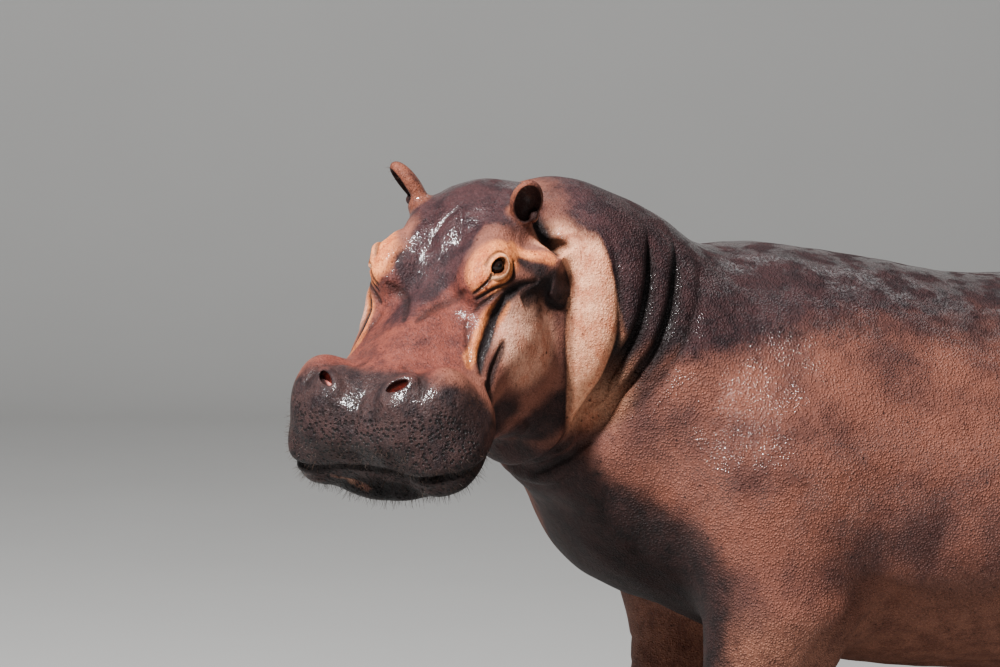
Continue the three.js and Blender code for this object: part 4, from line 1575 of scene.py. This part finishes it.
def markBristles(skin):
    # where bristles grow, and each point's place on an unwrap of the skin
    p = fromRow(coordinatesOf(skin.data))
    q = toHead(p)
    m = bothSides(q)
    front = spanned("whiskersAhead", m[0])
    band = spanned("whiskersBelow", -m[2])
    beard = spanned("beardBelow", -m[2]) * spanned("beardAhead", m[0]) * spanned("beardAbove", m[2])
    hair = np.zeros(p.shape[1])
    for side in sides:
        e = inEar(q, side)
        edge = np.abs(ringOf(e, ears["half"][1:]) - ears["hairRing"])
        fringe = spanned("earEdge", -edge) * spanned("earHigh", e[2]) * spanned("earFront", e[0])
        hair = np.maximum(hair, fringe * spanned("earNear", -np.abs(e).max(0)))
    store(skin.data, {
        "whiskers": toneWeight({"head": m}, whiskered) * front * band * 0.7,
        "beard": beard,
        "tailHair": spanned("tailEnd", p[0]) * spanned("tailLow", -p[2]),
        "earHair": hair,
    })
    # head and tail are each rolled out round a line along them, the tail below the head
    turn = np.arctan2(q[1], q[2] + unwrap["headLine"])
    tailTurn = np.arctan2(p[1], p[0] - tail["bones"][-1][0])
    onTail = p[0] > unwrap["tailFrom"]
    u = np.where(onTail, tailTurn, turn) / (2 * math.pi) + 0.5
    rear, length = unwrap["head"]
    alongHead = 0.2 + 0.78 * np.clip((q[0] - rear) / length, 0, 1)
    v = np.where(onTail, 0.18 * smooth(p[2], *unwrap["tail"]), alongHead)
    places = np.array([0.01 + 0.97 * u, v, np.zeros(p.shape[1])]).T
    skin.data.attributes.new("rootPlace", "FLOAT_VECTOR", "POINT").data.foreach_set(
        "vector", np.ascontiguousarray(places, np.float32).ravel())


def bristleMaterial():
    settings = {"Roughness": 0.6, "IOR": 1.54, "Specular IOR Level": 0.2}
    material, tree, shader, where = materialOf("bristle", **settings)
    color = mixed(tree, noise(tree, where, 60, 2), paint(30, 22, 20), paint(74, 54, 42))
    wire(tree, shader, {"Base Color": color})
    return material


def makeBristles():
    markBristles(skin)
    tree, material = makeBristleTree(), bristleMaterial()
    keys = {item.name: item.identifier for item in tree.interface.items_tree if item.in_out == "INPUT"}
    for name, one in bristles.items():
        base = objectOf("base", skin.data.copy())
        grow = base.modifiers.new("grow", "NODES")
        grow.node_group = tree
        values = {
            "Where": one["where"],
            "Density": float(one["density"]),
            "Length": one["length"] * millimetre,
            "Thickness": one["thick"] * millimetre,
            "Droop": one["droop"],
            "Bend": one["bend"],
            "Seed": one["seed"],
            "Material": material,
        }
        for key, value in values.items():
            grow[keys[key]] = value
        mesh = evaluated(base)
        bpy.data.objects.remove(base)
        piece = objectOf(f"bristles_{name}", mesh)
        mesh.name = piece.name
        finish(piece, material, "hide")
        print(f"          {piece.name}: {len(mesh.polygons)} faces")


makeBristles()
report("bristles done")

# floor, light and camera
view = {
    "azimuth": -20, "elevation": 7, "distance": 15, "lens": 216, "sensor": 36,
    "size": (1000, 667),
    "pixels": 400,  # to the metre
    "shoulder": (720, 241),  # where the point over the origin at this height falls
    "height": 1.49,
}
studio = {
    "floor": paint(152, 151, 149),
    "curve": (7.5, 2.5, 9),  # distance behind, radius of the cove, height
    "curveSteps": 16,
    "front": -14,
    "halfWidth": 16,
    "mottle": 0.94,
    "aim": (-0.4, -0.1, 1.1),
    "key": {"aside": -0.62, "up": 1.2, "ahead": 0.9, "away": 8, "size": 0.9, "power": 2900},
    "fill": {"aside": 0.75, "up": 0.25, "ahead": 0.7, "away": 9, "size": 5, "power": 80},
    "rim": {"aside": 0.3, "up": 0.85, "ahead": -0.7, "away": 8, "size": 3, "power": 60},
    "sky": (0.86, 0.92, 1.0, 1),
    "skyPower": 0.12,
}
origin = Vector(toRow(np.zeros((3, 1)))[0])
azimuth, elevation = math.radians(view["azimuth"]), math.radians(view["elevation"])
aside = Vector((math.cos(azimuth), math.sin(azimuth), 0))
level = math.cos(elevation)
back = Vector((math.sin(azimuth) * level, -math.cos(azimuth) * level, math.sin(elevation)))
away = Vector((-back.x, -back.y, 0)).normalized()  # level, from the camera
upward = back.cross(aside)


def makeCamera():
    camera = bpy.data.cameras.new("camera")
    camera.lens = view["lens"]
    camera.sensor_width = view["sensor"]
    camera.clip_end = 200
    thing = objectOf("camera", camera)
    (width, height), (px, py) = view["size"], view["shoulder"]
    middle = origin + Vector((0, 0, view["height"]))
    middle += aside * ((width / 2 - px) / view["pixels"]) + upward * ((py - height / 2) / view["pixels"])
    thing.location = middle + back * view["distance"]
    thing.rotation_euler = back.to_track_quat("Z", "Y").to_euler()
    bpy.context.scene.camera = thing


def makeStage():
    behind, radius, height = studio["curve"]
    steps, half = studio["curveSteps"], studio["halfWidth"]
    profile = [(studio["front"], 0)]
    for a in (math.pi / 2 * i / steps for i in range(steps + 1)):
        profile.append((behind + radius * math.sin(a), radius - radius * math.cos(a)))
    profile.append((behind + radius, height))
    rows = [[away * d + aside * w + Vector((0, 0, z)) for d, z in profile] for w in (-half, half)]
    count = len(profile)
    faces = [(i, i + 1, count + i + 1, count + i) for i in range(count - 1)]
    mesh = bpy.data.meshes.new("floor")
    mesh.from_pydata([tuple(v) for row in rows for v in row], [], faces)
    smoothed(mesh)
    floor = objectOf("floor", mesh)
    material, tree, shader, where = materialOf("paleFloor", Roughness=0.7)
    darker = tuple(studio["mottle"] * c for c in studio["floor"])
    wire(tree, shader, {"Base Color": mixed(tree, noise(tree, where, 1.5, 3), studio["floor"], darker)})
    mesh.materials.append(material)


def makeLights():
    aim = origin + Vector(studio["aim"])
    for name in ("key", "fill", "rim"):
        one = studio[name]
        light = bpy.data.lights.new(name, "AREA")
        light.shape = "DISK"
        light.size = one["size"]
        light.energy = one["power"]
        thing = objectOf(name, light)
        way = (aside * one["aside"] + Vector((0, 0, one["up"])) + back * one["ahead"]).normalized()
        thing.location = aim + way * one["away"]
        thing.rotation_euler = way.to_track_quat("Z", "Y").to_euler()
    world = bpy.data.worlds.new("studio")
    world.use_nodes = True
    sky = {"Color": studio["sky"], "Strength": studio["skyPower"]}
    wire(world.node_tree, world.node_tree.nodes["Background"], sky)
    bpy.context.scene.world = world


makeCamera()
makeStage()
makeLights()
report("studio done")
